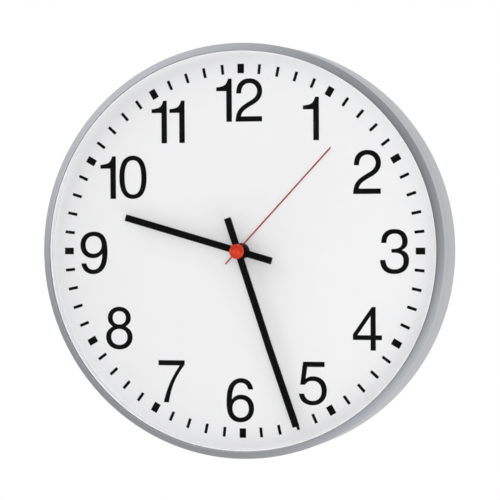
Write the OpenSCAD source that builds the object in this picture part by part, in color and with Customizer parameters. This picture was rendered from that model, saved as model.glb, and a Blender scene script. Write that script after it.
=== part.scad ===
// Round wall clock, 300 mm: a deep sheet-metal case with a separate front ring, a domed glass,
// a printed dial and a battery quartz movement whose gear train turns three hands.
// Pieces are drawn on the clock's own plan: x to the right, y up, z from the wall towards the viewer.
// The module hung() stands that plan upright: +X right, +Z up, -Y towards the viewer,
// with the origin at the keyhole that the clock hangs on, on the wall plane.

/* [Case] */
// Outside diameter of the case
case_d = 300; // [260:1:380]
// From the wall to the front face of the dial
dial_front = 35.5; // [34.5:0.5:42]
// Thickness of the case body's sheet
sheet_t = 1.0; // [0.8:0.1:1.3]
// Width of the flange turned in at the back
rear_flange_w = 13; // [12:0.5:16]
// Radius of the bend at the back edge
rear_bend = 2.5; // [1.5:0.1:4]
// Width of the ledge turned in under the dial
ledge_w = 9; // [6:0.5:12]

/* [Front ring] */
// Thickness of the front ring's sheet
ring_t = 1.0; // [0.8:0.1:1.2]
// Radial width of the ring's sloping face
ring_face_w = 5.4; // [5:0.1:6.5]
// Height of the ring's inner edge above the dial
lip_h = 8.8; // [8.4:0.1:9.6]
// Height of the ring's outer front edge above the dial
shoulder_h = 5.0; // [4.6:0.1:5.4]
// Length of the skirt behind that edge
skirt_l = 8.5; // [7:0.1:10]
// Radius of the outer front edge
edge_round = 1.0; // [0.6:0.1:1.6]
// Bevel on both sides of the joint line
joint_bevel = 0.35; // [0.2:0.05:0.5]

/* [Glass and seal] */
// Thickness of the domed glass
glass_t = 2.0; // [1.8:0.1:2.2]
// Rise of the dome from its edge to its middle
dome_rise = 22; // [20:0.5:26]
// Thickness of the seal under the glass
seal_foot = 0.9; // [0.7:0.1:1.1]
// Thickness of the seal's outer wall
seal_wall = 0.8; // [0.6:0.1:1]
// How far the spacer ring shows inside the front ring
spacer_show = 1.3; // [0.5:0.1:2]

/* [Dial] */
// Thickness of the dial plate
dial_t = 1.0; // [0.8:0.1:1.4]
// From the front ring's inner edge to the middle of the minute track
track_inset = 13.1; // [10:0.1:18]
// Length of a minute mark
minute_mark_l = 6.9; // [4:0.1:9]
// Width of a minute mark
minute_mark_w = 1.9; // [1:0.1:3]
// Length of an hour mark
hour_mark_l = 6.6; // [4:0.1:9]
// Width of an hour mark
hour_mark_w = 4.6; // [3:0.1:7]
// Thickness of the printed ink
ink_t = 0.06; // [0.05:0.01:0.12]

/* [Hands] */
// Time shown: the hour hand's angle, clockwise from twelve
hour_angle = 286.0; // [0:0.5:359.5]
// The minute hand's angle, clockwise from twelve
minute_angle = 161.75; // [0:0.05:359.5]
// The second hand's angle, clockwise from twelve
second_angle = 43.3; // [0:0.1:359.9]
// How far the hour hand's end stays inside the middle of the track
hour_short = 42.7; // [32:0.1:71]
// How far the minute hand runs past the middle of the track
minute_past_track = 0.9; // [-8:0.1:5]
// How far the second hand's end stays inside the middle of the track
second_short = 30.0; // [20:0.1:71]
// Length of the hour hand's tail
hour_tail = 25.4; // [10:0.1:40]
// Length of the minute hand's tail
minute_tail = 25.1; // [10:0.1:40]
// Length of the second hand's tail
second_tail = 12.5; // [8:0.1:40]
// Width of the hour hand
hour_w = 4.9; // [3:0.1:7]
// Width of the minute hand
minute_w = 5.0; // [3:0.1:7]
// Width of the second hand
second_w = 1.0; // [0.8:0.1:2]
// Thickness of the hour and minute hands
hand_t = 0.8; // [0.5:0.1:1]
// Thickness of the second hand
needle_t = 0.4; // [0.3:0.05:0.6]
// Height of the hour hand's back above the dial
hour_h = 7.6; // [7:0.1:7.8]
// Height of the minute hand's back above the dial
minute_h = 9.8; // [9.6:0.1:10.2]
// Where the minute hand starts to bend down, from the hands' axis
bend_from = 72; // [60:1:80]
// Height of the second hand's back above the dial
second_h = 13.0; // [12.6:0.1:14]
// Radius of the red cap
cap_r = 5.35; // [3:0.05:8]
// Thickness of the red cap
cap_t = 1.2; // [0.8:0.1:2]
// Depth of the shallow cone turned into the cap's face
cap_dish = 0.3; // [0.2:0.1:0.6]

/* [Hanger] */
// From the top of the case down to the keyhole
key_inset = 32; // [28:1:36]
// Radius of the keyhole's wide end, which takes the screw's head
key_r = 4.5; // [4:0.1:5.5]
// Half width of the keyhole's slot, which takes the screw's shank
key_slot_r = 2.3; // [1.8:0.1:2.8]
// From the middle of the wide end to the middle of the slot's end
key_rise = 8; // [6:0.5:9]
// Thickness of the hanger plate
hanger_t = 1.5; // [1.2:0.1:2]
// Width of the hanger plate
hanger_w = 46; // [36:1:56]

/* [Movement] */
// From the end of the battery cell to the outside of the square housing
cell_room = 3.0; // [3:0.1:5]
// Depth of the movement's housing
move_depth = 16.5; // [16.5:0.1:17.5]
// Wall of the movement's housing
move_wall = 1.4; // [1.2:0.1:1.6]
// Thickness of the rubber washer behind the dial
rubber_t = 1.2; // [0.8:0.1:1.4]
// Radius of the threaded bush
bush_r = 4.0; // [3.6:0.1:4.5]
// Distance across the flats of the fixing nut
nut_af = 10; // [9.5:0.5:13]
// Thickness of the fixing nut
nut_t = 2.4; // [2:0.1:2.8]
// Radius of the battery cell
cell_r = 7.1; // [6.9:0.05:7.2]
// Length of the battery cell
cell_l = 50; // [49:0.5:50.5]

/* [Gear train] */
// From the hands' axis to the third arbor
third_dist = 11.2; // [11:0.1:11.4]
// From the hands' axis to the intermediate arbor
inter_dist = 8.6; // [8.4:0.1:8.8]
// From the intermediate arbor to the rotor
rotor_dist = 7.6; // [7.4:0.1:7.8]
// From the hands' axis to the reverser, and from the reverser to the setting arbor
reverser_dist = 12; // [11.8:0.1:12.2]
// Pressure angle of the teeth
pressure = 25; // [22:1:27]
// Play taken off each tooth, measured along the pitch circle
tooth_play = 0.05; // [0.03:0.01:0.08]
// Thickness of the fine wheels of the going train
wheel_t = 0.8; // [0.6:0.1:0.9]
// Thickness of the wheels under the hands
motion_t = 1.2; // [1:0.1:1.3]

/* [Hidden] */
$fn = 96;

// Fits
slip_gap = 0.1;      // front ring over the neck of the case body
run_gap = 0.05;      // turning parts in their bearings
lay_gap = 0.05;      // soft parts against the sheet and the glass
tip_gap = 0.6;       // between the minute hand's end and the glass
cut = 0.5;           // how far a cutter runs past a face
weld = 0.1;          // how far joined shapes run into each other

// Case and front ring
case_r = case_d / 2;
neck_r = case_r - ring_t - slip_gap;
dial_back = dial_front - dial_t;
lip_r = case_r - ring_face_w;
shoulder_z = dial_front + shoulder_h;
lip_z = dial_front + lip_h;
joint_z = shoulder_z - skirt_l;
bend_steps = 6;
dial_r = case_r - ring_t - slip_gap - 0.4;
ring_slope = (lip_h - shoulder_h) / ring_face_w;
ring_drop = ring_t * sqrt(1 + pow(ring_slope, 2));

// Height of the underside of the ring's face at radius r
function ring_under(r) = lip_z - ring_drop - ring_slope * (r - lip_r);

// Glass and seal
seal_r = lip_r + 2.7;
glass_r = seal_r - seal_wall - lay_gap;
glass_edge_z = ring_under(glass_r) - 0.65 - glass_t * 1.06;
dome_r = (pow(glass_r, 2) + pow(dome_rise, 2)) / (2 * dome_rise);
dome_centre = glass_edge_z + dome_rise - dome_r;
spacer_top = glass_edge_z - seal_foot;

// Height of a dome of radius d at radius r
function dome(d, r) = dome_centre + sqrt(d * d - r * r);

// Dial print
track_r = lip_r - track_inset;
hour_reach = track_r - hour_short;
second_reach = track_r - second_short;
marks = 60;
marks_per_hour = 5;

// Hanger
key_y = case_r - key_inset;
flange_r = case_r - rear_flange_w;
hanger_low = key_y - 12;
hanger_step = flange_r - 8;
hanger_top = case_r - 5;
rivet_r = 1.6;
rivet_head_r = 2.6;
rivet_head_t = 1.1;
rivet_x = 12;
rivet_y = flange_r + 4;

// Teeth
addendum = 0.8;
dedendum = 1.1;
rotor_z = 10;
inter_z = 60;
inter_pinion_z = 12;
second_z = 60;
second_pinion_z = 10;
third_z = 75;
third_pinion_z = 10;
centre_z = 80;
cannon_z = 12;
reverser_z = 36;
reverser_pinion_z = 10;
hour_z = 40;
setting_z = 12;

// Directions of the arbors, counter-clockwise from the right as the viewer sees them
third_dir = 170;
inter_dir = 75;
rotor_dir = 80;
reverser_dir = 20;
setting_dir = 25;

function polar(r, a) = [r * cos(a), r * sin(a)];
third_at = polar(third_dist, third_dir);
inter_at = polar(inter_dist, inter_dir);
rotor_at = inter_at + polar(rotor_dist, rotor_dir);
reverser_at = polar(reverser_dist, reverser_dir);
setting_at = reverser_at + polar(reverser_dist, setting_dir);

// A pair of wheels shares the module that its distance asks for
function pair_module(dist, z1, z2) = 2 * dist / (z1 + z2);
rotor_mod = pair_module(rotor_dist, rotor_z, inter_z);
inter_mod = pair_module(inter_dist, inter_pinion_z, second_z);
third_mod = pair_module(third_dist, second_pinion_z, third_z);
centre_mod = pair_module(third_dist, third_pinion_z, centre_z);
cannon_mod = pair_module(reverser_dist, cannon_z, reverser_z);
hour_mod = pair_module(reverser_dist, reverser_pinion_z, hour_z);

// Turns a wheel of z2 teeth so that a gap of it faces the tooth of its partner:
// dir is the direction from the partner (z1 teeth, turned by a1) to the wheel
function mesh_turn(dir, a1, z1, z2) = dir + 180 + ((dir - a1) * z1 - 180) / z2;
inter_pinion_turn = mesh_turn(inter_dir, 0, second_z, inter_pinion_z);
rotor_turn = mesh_turn(rotor_dir, inter_pinion_turn, inter_z, rotor_z);
third_turn = mesh_turn(third_dir, 0, second_pinion_z, third_z);
centre_turn = mesh_turn(third_dir + 180, third_turn, third_pinion_z, centre_z);
reverser_turn = mesh_turn(reverser_dir, 0, cannon_z, reverser_z);
hour_turn = mesh_turn(reverser_dir + 180, reverser_turn, reverser_pinion_z, hour_z);
setting_turn = mesh_turn(setting_dir, reverser_turn, reverser_z, setting_z);

// Movement housing: wide enough for the cell and its contacts, and for the setting pinion
setting_tip_r = cannon_mod * (setting_z / 2 + addendum);
tip_room = 0.5;
room = max(cell_l / 2 + cell_room - move_wall, setting_at[0] + setting_tip_r + tip_room);
move_w = 2 * (room + move_wall);
move_front = dial_back - rubber_t;
move_back = move_front - move_depth;
floor_front_t = 1.6;
floor_front = move_front - floor_front_t;
floor_back = move_back + move_wall;
rear_shell_h = 8.2;
move_split = move_back + rear_shell_h;
move_corner = 3;
cell_play = 0.3;
strip_room = 0.4;
bay_wall = 1.2;
bay_top = -room + 2 * cell_r + cell_play + 0.2;
bay_wall_half = cell_l / 2 - strip_room;
cell_y = -room + cell_r + cell_play;
cell_z = move_back + cell_r + cell_play;
nub_r = 2.7;
nub_l = 1.0;
foot_r = 4.8;
crimp_r = 5.6;
crimp_h = 0.5;
hatch_rim = 0.1;
hatch_play = 0.6;

// Minute hand's end: bent down so that it passes under the glass
minute_reach = track_r + minute_past_track;
minute_drop = max(0.1, dial_front + minute_h + hand_t + tip_gap - dome(dome_r, minute_reach + 0.1));

// Bush, nut and pipes
washer_t = 0.5;
washer_r = nut_af / 2 + 0.8;
rubber_r = 9;
dial_hole_r = bush_r + 0.15;
bush_show = 1.3;
bush_top = dial_front + washer_t + nut_t + bush_show;
bush_bore_r = 2.62;
hour_pipe_r = bush_bore_r - run_gap;
hour_bore_r = 1.78;
cannon_r = hour_bore_r - run_gap;
cannon_bore_r = 0.67;
arbor_r = cannon_bore_r - run_gap;
fine_arbor_r = 0.45;
post_r = 0.7;
wheel_hub_r = 1.7;
key_arbor_r = 1.2;
hour_boss_r = 5;
hour_collet_r = 4.6;
minute_boss_r = 4.6;
minute_collet_r = 3.4;
second_boss_r = 2.4;
tube_r = 1.3;
cap_rim = 0.45;

// Levels of the train, each the back face of its wheels
level_third = floor_back + 0.7;
level_inter = level_third + 1.4;
level_second = level_inter + 1.4;
bridge_z = level_second + 1.6;
bridge_t = 1.2;
level_centre = bridge_z + bridge_t + 0.7;
level_cannon = level_centre + 1.8;
level_hour = level_cannon + 2.2;
hour_pipe_l = dial_front + hour_h + hand_t + 0.4 - level_hour;
pivot_z = floor_back - 0.7;
fine_arbor_l = bridge_z + bridge_t - 0.2 - pivot_z;
boss_r = 1.5;
boss_top = floor_back + 0.4;
end_play = 0.2;
bridge_post_r = 1.6;
bridge_rim = 0.6;
board_post_r = 1.2;
peg_r = 0.6;
peg_l = 0.4;
bump_r = 2.4;
bump_h = 0.4;

// Coil and stator
coil_y = room - 3.4;
coil_r = 3.2;
coil_half = 11;
cheek_t = 0.8;
core_w = 2.0;
core_t = 1.2;
stator_t = 1.2;
stator_z = level_second - 0.2;
stator_half = 16.5;
stator_leg = 4.7;
stator_rim = 0.6;
magnet_r = 2.8;
magnet_t = 1.6;
magnet_z = level_inter + wheel_t + 0.3;
air_gap = 0.6;
rotor_hole_r = magnet_r + air_gap;
notch_r = 0.5;
stator_low = rotor_at[1] - rotor_hole_r - 1.1;
stator_mid = rotor_at[1] + rotor_hole_r + 0.5;

// Contacts and circuit board
contact_t = 0.4;
contact_half = 4;
contact_half_gap = 0.2;
contact_seat = 0.1;
leaf_w = 4;
lug_l = 4;
lug_h = 4.8;
strip_lap = 6;
strip_y = bay_top + bay_wall + 0.1;
board = [[-room + contact_seat + contact_t, strip_y + contact_t], [-13, 10.5]];
board_t = 1.0;
board_posts = [board[0] + [2, 2], [board[0][0] + 2, board[1][1] - 2]];
board_z = level_inter + 0.1;
chip_x = 3;
chip_y = 3.5;
chip_w = 6;
chip_l = 5;
chip_t = 1.2;
chip_pins = 4;
chip_pitch = 1.4;
chip_pin_w = 0.5;
chip_pin_l = 1.2;
chip_pin_t = 0.3;
can_x = 6.5;
can_y = 6;
can_r = 0.75;
can_l = 5.1;
lead_x = 0.35;
lead_r = 0.15;
lead_l = 1.5;

// Knob
knob_r = 6;
knob_t = 3;
knob_gap = 0.4;
knob_flutes = 24;
flute_r = 0.6;
flute_h = 0.35;
dish_r = 15;
knob_dish = 0.6;

// Stands the clock's plan upright, with the keyhole at the origin
module hung() {
    translate([0, 0, -key_y]) rotate([90, 0, 0]) children();
}

// Moves to a point of the plan at a height above the wall
module at(p, z) {
    translate([p[0], p[1], z]) children();
}

// Points of an outline whose corners are [x, y, radius]; a zero radius keeps the corner sharp
function unit(v) = v / norm(v);
function corner_arc(a, p, b, r) =
    let (u = unit(a - p), v = unit(b - p), half = acos(u * v) / 2,
        run = r / tan(half), c = p + unit(u + v) * r / sin(half),
        s = p + u * run - c, e = p + v * run - c,
        a0 = atan2(s[1], s[0]), sweep = (atan2(e[1], e[0]) - a0 + 540) % 360 - 180)
    [for (i = [0 : bend_steps]) c + polar(r, a0 + sweep * i / bend_steps)];
function rounded(c) = [
    for (i = [0 : len(c) - 1])
        let (n = len(c), q = c[i], a = c[(i + n - 1) % n], b = c[(i + 1) % n])
        each (q[2] > 0 ? corner_arc([a[0], a[1]], [q[0], q[1]], [b[0], b[1]], q[2]) : [[q[0], q[1]]])
];

// Involute teeth
function involute(a) = tan(a) * 180 / PI - a;
function half_tooth(z, m, r) =
    let (pitch = z * m / 2, base = pitch * cos(pressure), q = max(r, base))
    90 / z - tooth_play / 2 / pitch * 180 / PI + involute(pressure) - involute(acos(min(1, base / q)));
function tooth_points(z, m, turn) =
    let (pitch = z * m / 2, radii = [pitch - dedendum * m, pitch, pitch + addendum * m])
    [for (i = [0 : z - 1], s = [0 : 5])
        let (r = radii[s < 3 ? s : 5 - s], a = half_tooth(z, m, r))
        polar(r, turn + i * 360 / z + (s < 3 ? -a : a))];

module teeth(z, m, turn, t) {
    linear_extrude(t) polygon(tooth_points(z, m, turn));
}

// A wheel with a thinner web, a hub and round windows
module wheel(z, m, turn, t, hub_r, windows) {
    root = z * m / 2 - dedendum * m;
    rim = root - 0.9;
    mid = (rim + hub_r) / 2;
    window_r = min((rim - hub_r) / 2 - 0.35, mid * sin(180 / windows) - 0.4);
    difference() {
        teeth(z, m, turn, t);
        translate([0, 0, t * 0.6]) difference() {
            cylinder(r = rim, h = t);
            translate([0, 0, -cut]) cylinder(r = hub_r, h = t + 2 * cut);
        }
        for (i = [0 : windows - 1])
            rotate([0, 0, i * 360 / windows]) translate([mid, 0, -cut])
                cylinder(r = window_r, h = t + 2 * cut, $fn = 32);
    }
}

// A square with round corners, in the plan
module round_square(w, r) {
    square([w - 2 * r, w], center = true);
    square([w, w - 2 * r], center = true);
    for (x = [-1, 1], y = [-1, 1]) translate([x, y] * (w / 2 - r)) circle(r = r, $fn = 48);
}

// Case body: the rear flange, the wall, the neck under the front ring and the dial's ledge in one sheet
module case_body() {
    inner = case_r - sheet_t;
    color("lightsteelblue") hung() difference() {
        rotate_extrude($fn = 360) polygon(rounded([
            [flange_r, 0, 0], [case_r, 0, rear_bend], [case_r, joint_z, joint_bevel],
            [neck_r, joint_z, 0], [neck_r, dial_back, 0.4], [case_r - ledge_w - ring_t, dial_back, 0],
            [case_r - ledge_w - ring_t, dial_back - sheet_t, 0], [neck_r - sheet_t, dial_back - sheet_t, 0],
            [neck_r - sheet_t, joint_z - sheet_t, 0], [inner, joint_z - sheet_t, 0],
            [inner, sheet_t, 0], [flange_r, sheet_t, 0]]));
        for (s = [-1, 1]) at([s * rivet_x, rivet_y], -cut)
            cylinder(r = rivet_r + run_gap, h = sheet_t + 2 * cut, $fn = 32);
    }
}

// Front ring: skirt and sloping face in one sheet, cut off square at the glass
module front_ring() {
    color("silver") hung() rotate_extrude($fn = 360) polygon(rounded([
        [case_r, joint_z, joint_bevel], [case_r, shoulder_z, edge_round], [lip_r, lip_z, 0.3],
        [lip_r, ring_under(lip_r), 0], [case_r - ring_t, ring_under(case_r - ring_t), 0.3],
        [case_r - ring_t, joint_z, 0]]));
}

// Domed glass, cut to a round edge
module cover_glass() {
    color("aliceblue", 0.35) hung() intersection() {
        translate([0, 0, dome_centre]) difference() {
            sphere(r = dome_r + glass_t, $fn = 400);
            sphere(r = dome_r, $fn = 400);
        }
        translate([0, 0, glass_edge_z - cut])
            cylinder(r = glass_r, h = dome_rise + glass_t + 2 * cut, $fn = 360);
    }
}

// Seal: a U of grey rubber round the edge of the glass
module glass_seal() {
    outer = dome_r + glass_t;
    flap_r = lip_r + 0.5;
    color("gray") hung() rotate_extrude($fn = 360) polygon([
        [lip_r, spacer_top], [seal_r, spacer_top], [seal_r, ring_under(seal_r) - lay_gap],
        [flap_r, ring_under(flap_r) - lay_gap], [flap_r, dome(outer, flap_r) + lay_gap],
        [seal_r - seal_wall, dome(outer, glass_r) + lay_gap], [seal_r - seal_wall, glass_edge_z - lay_gap],
        [glass_r, glass_edge_z - lay_gap], [lip_r, dome(dome_r, lip_r) - lay_gap]]);
}

// Spacer ring: white plastic between the dial and the seal
module spacer_ring() {
    color("white") hung() ring(seal_r + 0.8, lip_r - spacer_show, dial_front, spacer_top - dial_front, 360);
}

module dial_plate() {
    color("white") hung() translate([0, 0, dial_back]) difference() {
        cylinder(r = dial_r, h = dial_t, $fn = 360);
        translate([0, 0, -cut]) cylinder(r = dial_hole_r, h = dial_t + 2 * cut);
    }
}

// Minute track: sixty printed marks, every fifth one wide
module minute_track() {
    color("black") hung() for (i = [0 : marks - 1]) {
        hour = i % marks_per_hour == 0;
        l = hour ? hour_mark_l : minute_mark_l;
        w = hour ? hour_mark_w : minute_mark_w;
        rotate([0, 0, -i * 360 / marks]) translate([-w / 2, track_r - l / 2, dial_front])
            cube([w, l, ink_t]);
    }
}

// Hanger plate: the keyhole lies on the wall plane, the upper end steps over the rear flange
module hanger_plate() {
    top_half = hanger_w / 2 - 3;
    color("gainsboro") hung() difference() {
        union() {
            linear_extrude(hanger_t) polygon(rounded([
                [-hanger_w / 2 + 6, hanger_low, 4], [hanger_w / 2 - 6, hanger_low, 4],
                [hanger_w / 2, hanger_step, 3], [-hanger_w / 2, hanger_step, 3]]));
            translate([0, 0, sheet_t]) linear_extrude(hanger_t) polygon(rounded([
                [-top_half, hanger_step - 6, 0], [top_half, hanger_step - 6, 0],
                [top_half - 2, hanger_top, 4], [-top_half + 2, hanger_top, 4]]));
        }
        at([0, key_y], -cut) cylinder(r = key_r, h = hanger_t + 2 * cut);
        at([0, key_y + key_rise], -cut) cylinder(r = key_slot_r, h = 2 * hanger_t + 2 * cut, $fn = 48);
        translate([-key_slot_r, key_y, -cut]) cube([2 * key_slot_r, key_rise, 2 * hanger_t + 2 * cut]);
        for (s = [-1, 1]) at([s * rivet_x, rivet_y], 0)
            cylinder(r = rivet_r + run_gap, h = 3 * hanger_t, $fn = 32);
    }
}

module hanger_rivets() {
    top = sheet_t + hanger_t;
    color("silver") hung() for (s = [-1, 1]) at([s * rivet_x, rivet_y], 0) {
        cylinder(r = rivet_r, h = top, $fn = 32);
        intersection() {
            translate([0, 0, top]) cylinder(r = rivet_head_r, h = rivet_head_t, $fn = 32);
            translate([0, 0, top + rivet_head_t - rivet_head_r - 0.6])
                sphere(r = rivet_head_r + 0.6, $fn = 48);
        }
    }
}

// Posts that carry the bridge
post_x = room - bridge_post_r - 2;
post_low = bay_top + bay_wall + bridge_post_r + 1;
post_high = setting_at[1] + setting_tip_r + bridge_post_r + 2.8;
bridge_posts = [[-post_x, post_low], [post_x, post_low], [-post_x, post_high], [post_x, post_high]];

// Snap latches: a tongue of the front shell hooks over a lug of the rear shell, twice on each side
latch_w = 7;
latch_t = 0.9;
latch_l = 4.2;
latch_frame = 1.3;
lug_t = 0.7;
lug_high = 1.2;
module latches() {
    for (side = [0, 180], y = [-move_w / 4, move_w / 4])
        rotate([0, 0, side]) translate([move_w / 2, y, 0]) children();
}
module latch_tongue() {
    low = move_split - latch_l;
    difference() {
        translate([lay_gap, -latch_w / 2, low]) cube([latch_t, latch_w, latch_l + latch_frame]);
        translate([-cut, -latch_w / 2 + latch_frame, low + latch_frame])
            cube([latch_t + 2 * cut, latch_w - 2 * latch_frame, lug_high + 4 * run_gap]);
    }
    translate([-weld, -latch_w / 2, move_split + run_gap])
        cube([latch_t, latch_w, latch_frame - run_gap]);
}
module latch_lug() {
    low = move_split - latch_l + latch_frame + 2 * run_gap;
    half = latch_w / 2 - latch_frame - 2 * run_gap;
    translate([0, half, low]) rotate([90, 0, 0]) linear_extrude(2 * half)
        polygon([[-weld, 0], [lug_t - 0.4, 0], [lug_t, lug_high - 0.3], [lug_t, lug_high],
            [-weld, lug_high]]);
}

module movement_front_shell() {
    depth = move_front - move_split;
    color("dimgray") hung() difference() {
        union() {
            difference() {
                translate([0, 0, move_split]) linear_extrude(depth) round_square(move_w, move_corner);
                translate([0, 0, move_split - cut]) linear_extrude(floor_front - move_split + cut)
                    round_square(2 * room, move_corner - move_wall);
            }
            translate([0, 0, floor_front]) cylinder(r = bush_r, h = bush_top - floor_front);
            translate([-bay_wall_half, bay_top, move_split])
                cube([2 * bay_wall_half, bay_wall, floor_front - move_split + weld]);
            latches() latch_tongue();
            for (p = bridge_posts) at(p, bridge_z + bridge_t)
                cylinder(r = bridge_post_r, h = floor_front - bridge_z - bridge_t + weld, $fn = 32);
        }
        translate([0, 0, floor_front - cut])
            cylinder(r = bush_bore_r, h = bush_top - floor_front + 2 * cut);
    }
}

module movement_rear_shell() {
    color("dimgray") hung() difference() {
        union() {
            difference() {
                translate([0, 0, move_back]) linear_extrude(move_split - move_back)
                    round_square(move_w, move_corner);
                translate([0, 0, floor_back]) linear_extrude(move_split - floor_back + cut)
                    round_square(2 * room, move_corner - move_wall);
            }
            translate([-bay_wall_half, bay_top, floor_back - weld])
                cube([2 * bay_wall_half, bay_wall, move_split - floor_back + weld]);
            for (p = [[0, 0], third_at, inter_at, rotor_at]) at(p, floor_back - weld)
                cylinder(r = boss_r, h = boss_top - floor_back + weld, $fn = 32);
            for (p = board_posts) at(p, floor_back - weld) {
                cylinder(r = board_post_r, h = board_z - floor_back + weld, $fn = 32);
                cylinder(r = peg_r, h = board_z + board_t + peg_l - floor_back, $fn = 32);
            }
            for (p = [[0, 0], third_at, inter_at, rotor_at]) at(p, move_back - bump_h)
                cylinder(r1 = bump_r - bump_h, r2 = bump_r, h = bump_h, $fn = 48);
            latches() latch_lug();
            for (s = [-1, 1]) at([s * (stator_half - stator_leg / 2), stator_mid], floor_back - weld)
                cylinder(r = boss_r, h = stator_z - floor_back + weld, $fn = 32);
        }
        // Opening for the cell
        translate([-cell_l / 2 - hatch_play, -room + hatch_rim, move_back - cut])
            cube([cell_l + 2 * hatch_play, bay_top + room - 2 * hatch_rim, move_wall + 2 * cut]);
        at([0, 0], pivot_z - end_play) cylinder(r = arbor_r + run_gap, h = boss_top - pivot_z + cut);
        for (p = [third_at, inter_at, rotor_at]) at(p, pivot_z - end_play)
            cylinder(r = fine_arbor_r + run_gap, h = boss_top - pivot_z + cut, $fn = 32);
        at(setting_at, move_back - cut) cylinder(r = key_arbor_r + run_gap, h = move_wall + 2 * cut);
    }
}

// Bridge: the plate that carries the arbors' front ends, and the post that the reverser turns on
module gear_bridge() {
    half = room - bridge_rim;
    low = strip_y + contact_t + 0.3;
    high = post_high + bridge_post_r + 0.8;
    color("whitesmoke") hung() difference() {
        union() {
            translate([-half, low, bridge_z]) cube([2 * half, high - low, bridge_t]);
            at(reverser_at, bridge_z + bridge_t - weld)
                cylinder(r = 2 * post_r, h = level_cannon - bridge_z - bridge_t, $fn = 48);
            at(reverser_at, bridge_z + bridge_t - weld)
                cylinder(r = post_r, h = floor_front - bridge_z - bridge_t - end_play, $fn = 48);
        }
        at([0, 0], bridge_z - cut) cylinder(r = arbor_r + run_gap, h = bridge_t + 2 * cut);
        for (p = [third_at, inter_at, rotor_at]) at(p, bridge_z - cut)
            cylinder(r = fine_arbor_r + run_gap, h = bridge_t + 2 * cut, $fn = 32);
        at(setting_at, bridge_z - cut) cylinder(r = key_arbor_r + run_gap, h = bridge_t + 2 * cut);
    }
}

// A flat ring
module ring(r_out, r_in, z, t, sides = 96) {
    translate([0, 0, z]) difference() {
        cylinder(r = r_out, h = t, $fn = sides);
        translate([0, 0, -cut]) cylinder(r = r_in, h = t + 2 * cut, $fn = sides);
    }
}

module rubber_washer() {
    color("black") hung() ring(rubber_r, bush_r + lay_gap, move_front, rubber_t);
}

module flat_washer() {
    color("black") hung() ring(washer_r, bush_r + lay_gap, dial_front, washer_t);
}

// Fixing nut: a hexagon with its corners turned off
module fixing_nut() {
    corner = nut_af / 2 / cos(30);
    color("black") hung() translate([0, 0, dial_front + washer_t]) difference() {
        intersection() {
            cylinder(r = corner, h = nut_t, $fn = 6);
            cylinder(r1 = corner + 1.2, r2 = corner - 0.35, h = nut_t, $fn = 96);
        }
        translate([0, 0, -cut]) cylinder(r = bush_r + 0.02, h = nut_t + 2 * cut);
    }
}

module battery_cell() {
    held = cell_l - 2 * contact_half_gap;
    shoulder = held - nub_l;
    color("slategray") hung() translate([-held / 2, cell_y, cell_z]) rotate([0, 90, 0])
        rotate_extrude() polygon(rounded([
            [0, 0, 0], [foot_r, 0, 0.2], [foot_r + 0.3, crimp_h, 0], [cell_r, crimp_h, 0.6],
            [cell_r, shoulder, 0.6], [crimp_r, shoulder, 0], [crimp_r, shoulder - crimp_h, 0],
            [nub_r, shoulder - crimp_h, 0], [nub_r, held, 0.5], [0, held, 0]]));
}

// Contacts: thin plated strips at the ends of the bay, bent round its wall to the board
module positive_contact() {
    x = cell_l / 2 - contact_half_gap;
    color("gainsboro") hung() {
        translate([x, cell_y - contact_half, cell_z - contact_half])
            cube([contact_t, strip_y + contact_t - cell_y + contact_half, 2 * contact_half]);
        translate([board[1][0] - strip_lap, strip_y, floor_back + end_play])
            cube([x + contact_t - board[1][0] + strip_lap, contact_t, bridge_z - floor_back - 0.5]);
    }
}

module negative_contact() {
    x = -cell_l / 2 + contact_half_gap;
    wall = -room + contact_seat;
    root = wall + contact_t - 0.05;
    color("gainsboro") hung() {
        translate([wall, cell_y - contact_half, cell_z - contact_half])
            cube([contact_t, strip_y - cell_y + contact_half + lug_l, lug_h]);
        translate([0, 0, cell_z - leaf_w / 2]) linear_extrude(leaf_w) polygon([
            [root, cell_y + contact_half - 0.5], [x - contact_t, cell_y],
            [root, cell_y - contact_half + 0.5], [root, cell_y - contact_half],
            [x, cell_y], [root, cell_y + contact_half]]);
    }
}

// Circuit board, held by the pegs of the rear shell
module circuit_board() {
    color("seagreen") hung() difference() {
        translate([board[0][0], board[0][1], board_z])
            cube([board[1][0] - board[0][0], board[1][1] - board[0][1], board_t]);
        for (p = board_posts) at(p, board_z - cut)
            cylinder(r = peg_r + run_gap, h = board_t + 2 * cut, $fn = 32);
    }
}

module control_chip() {
    color("black") hung() translate([board[0][0] + chip_x, board[0][1] + chip_y, board_z + board_t]) {
        cube([chip_w, chip_l, chip_t]);
        for (i = [0 : chip_pins - 1], y = [-chip_pin_l, chip_l])
            translate([chip_pin_w + i * chip_pitch, y, 0]) cube([chip_pin_w, chip_pin_l, chip_pin_t]);
    }
}

module quartz_crystal() {
    middle = [board[0][0] + can_x, board[1][1] - can_y, board_z + board_t + can_r];
    color("silver") hung() translate(middle) rotate([90, 0, 0]) {
        translate([0, 0, -can_l / 2]) cylinder(r = can_r, h = can_l, $fn = 32);
        for (s = [-1, 1]) translate([s * lead_x, 0, can_l / 2 - weld])
            cylinder(r = lead_r, h = lead_l, $fn = 16);
    }
}

// Motor: bobbin, winding and core lie across the top, the stator plate reaches down to the rotor
coil_z = stator_z + stator_t + core_t / 2;
module coil_core() {
    color("gray") hung() translate([-stator_half, coil_y - core_w / 2, stator_z + stator_t])
        cube([2 * stator_half, core_w, core_t]);
}

module coil_bobbin() {
    color("ivory") hung() translate([0, coil_y, coil_z]) rotate([0, 90, 0]) difference() {
        union() {
            translate([0, 0, -coil_half]) cylinder(r = 1.8, h = 2 * coil_half, $fn = 48);
            for (z = [-coil_half, coil_half - cheek_t]) translate([0, 0, z])
                cylinder(r = coil_r + 0.1, h = cheek_t, $fn = 64);
        }
        cube([core_t + 0.1, core_w + 0.1, 3 * coil_half], center = true);
    }
}

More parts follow.
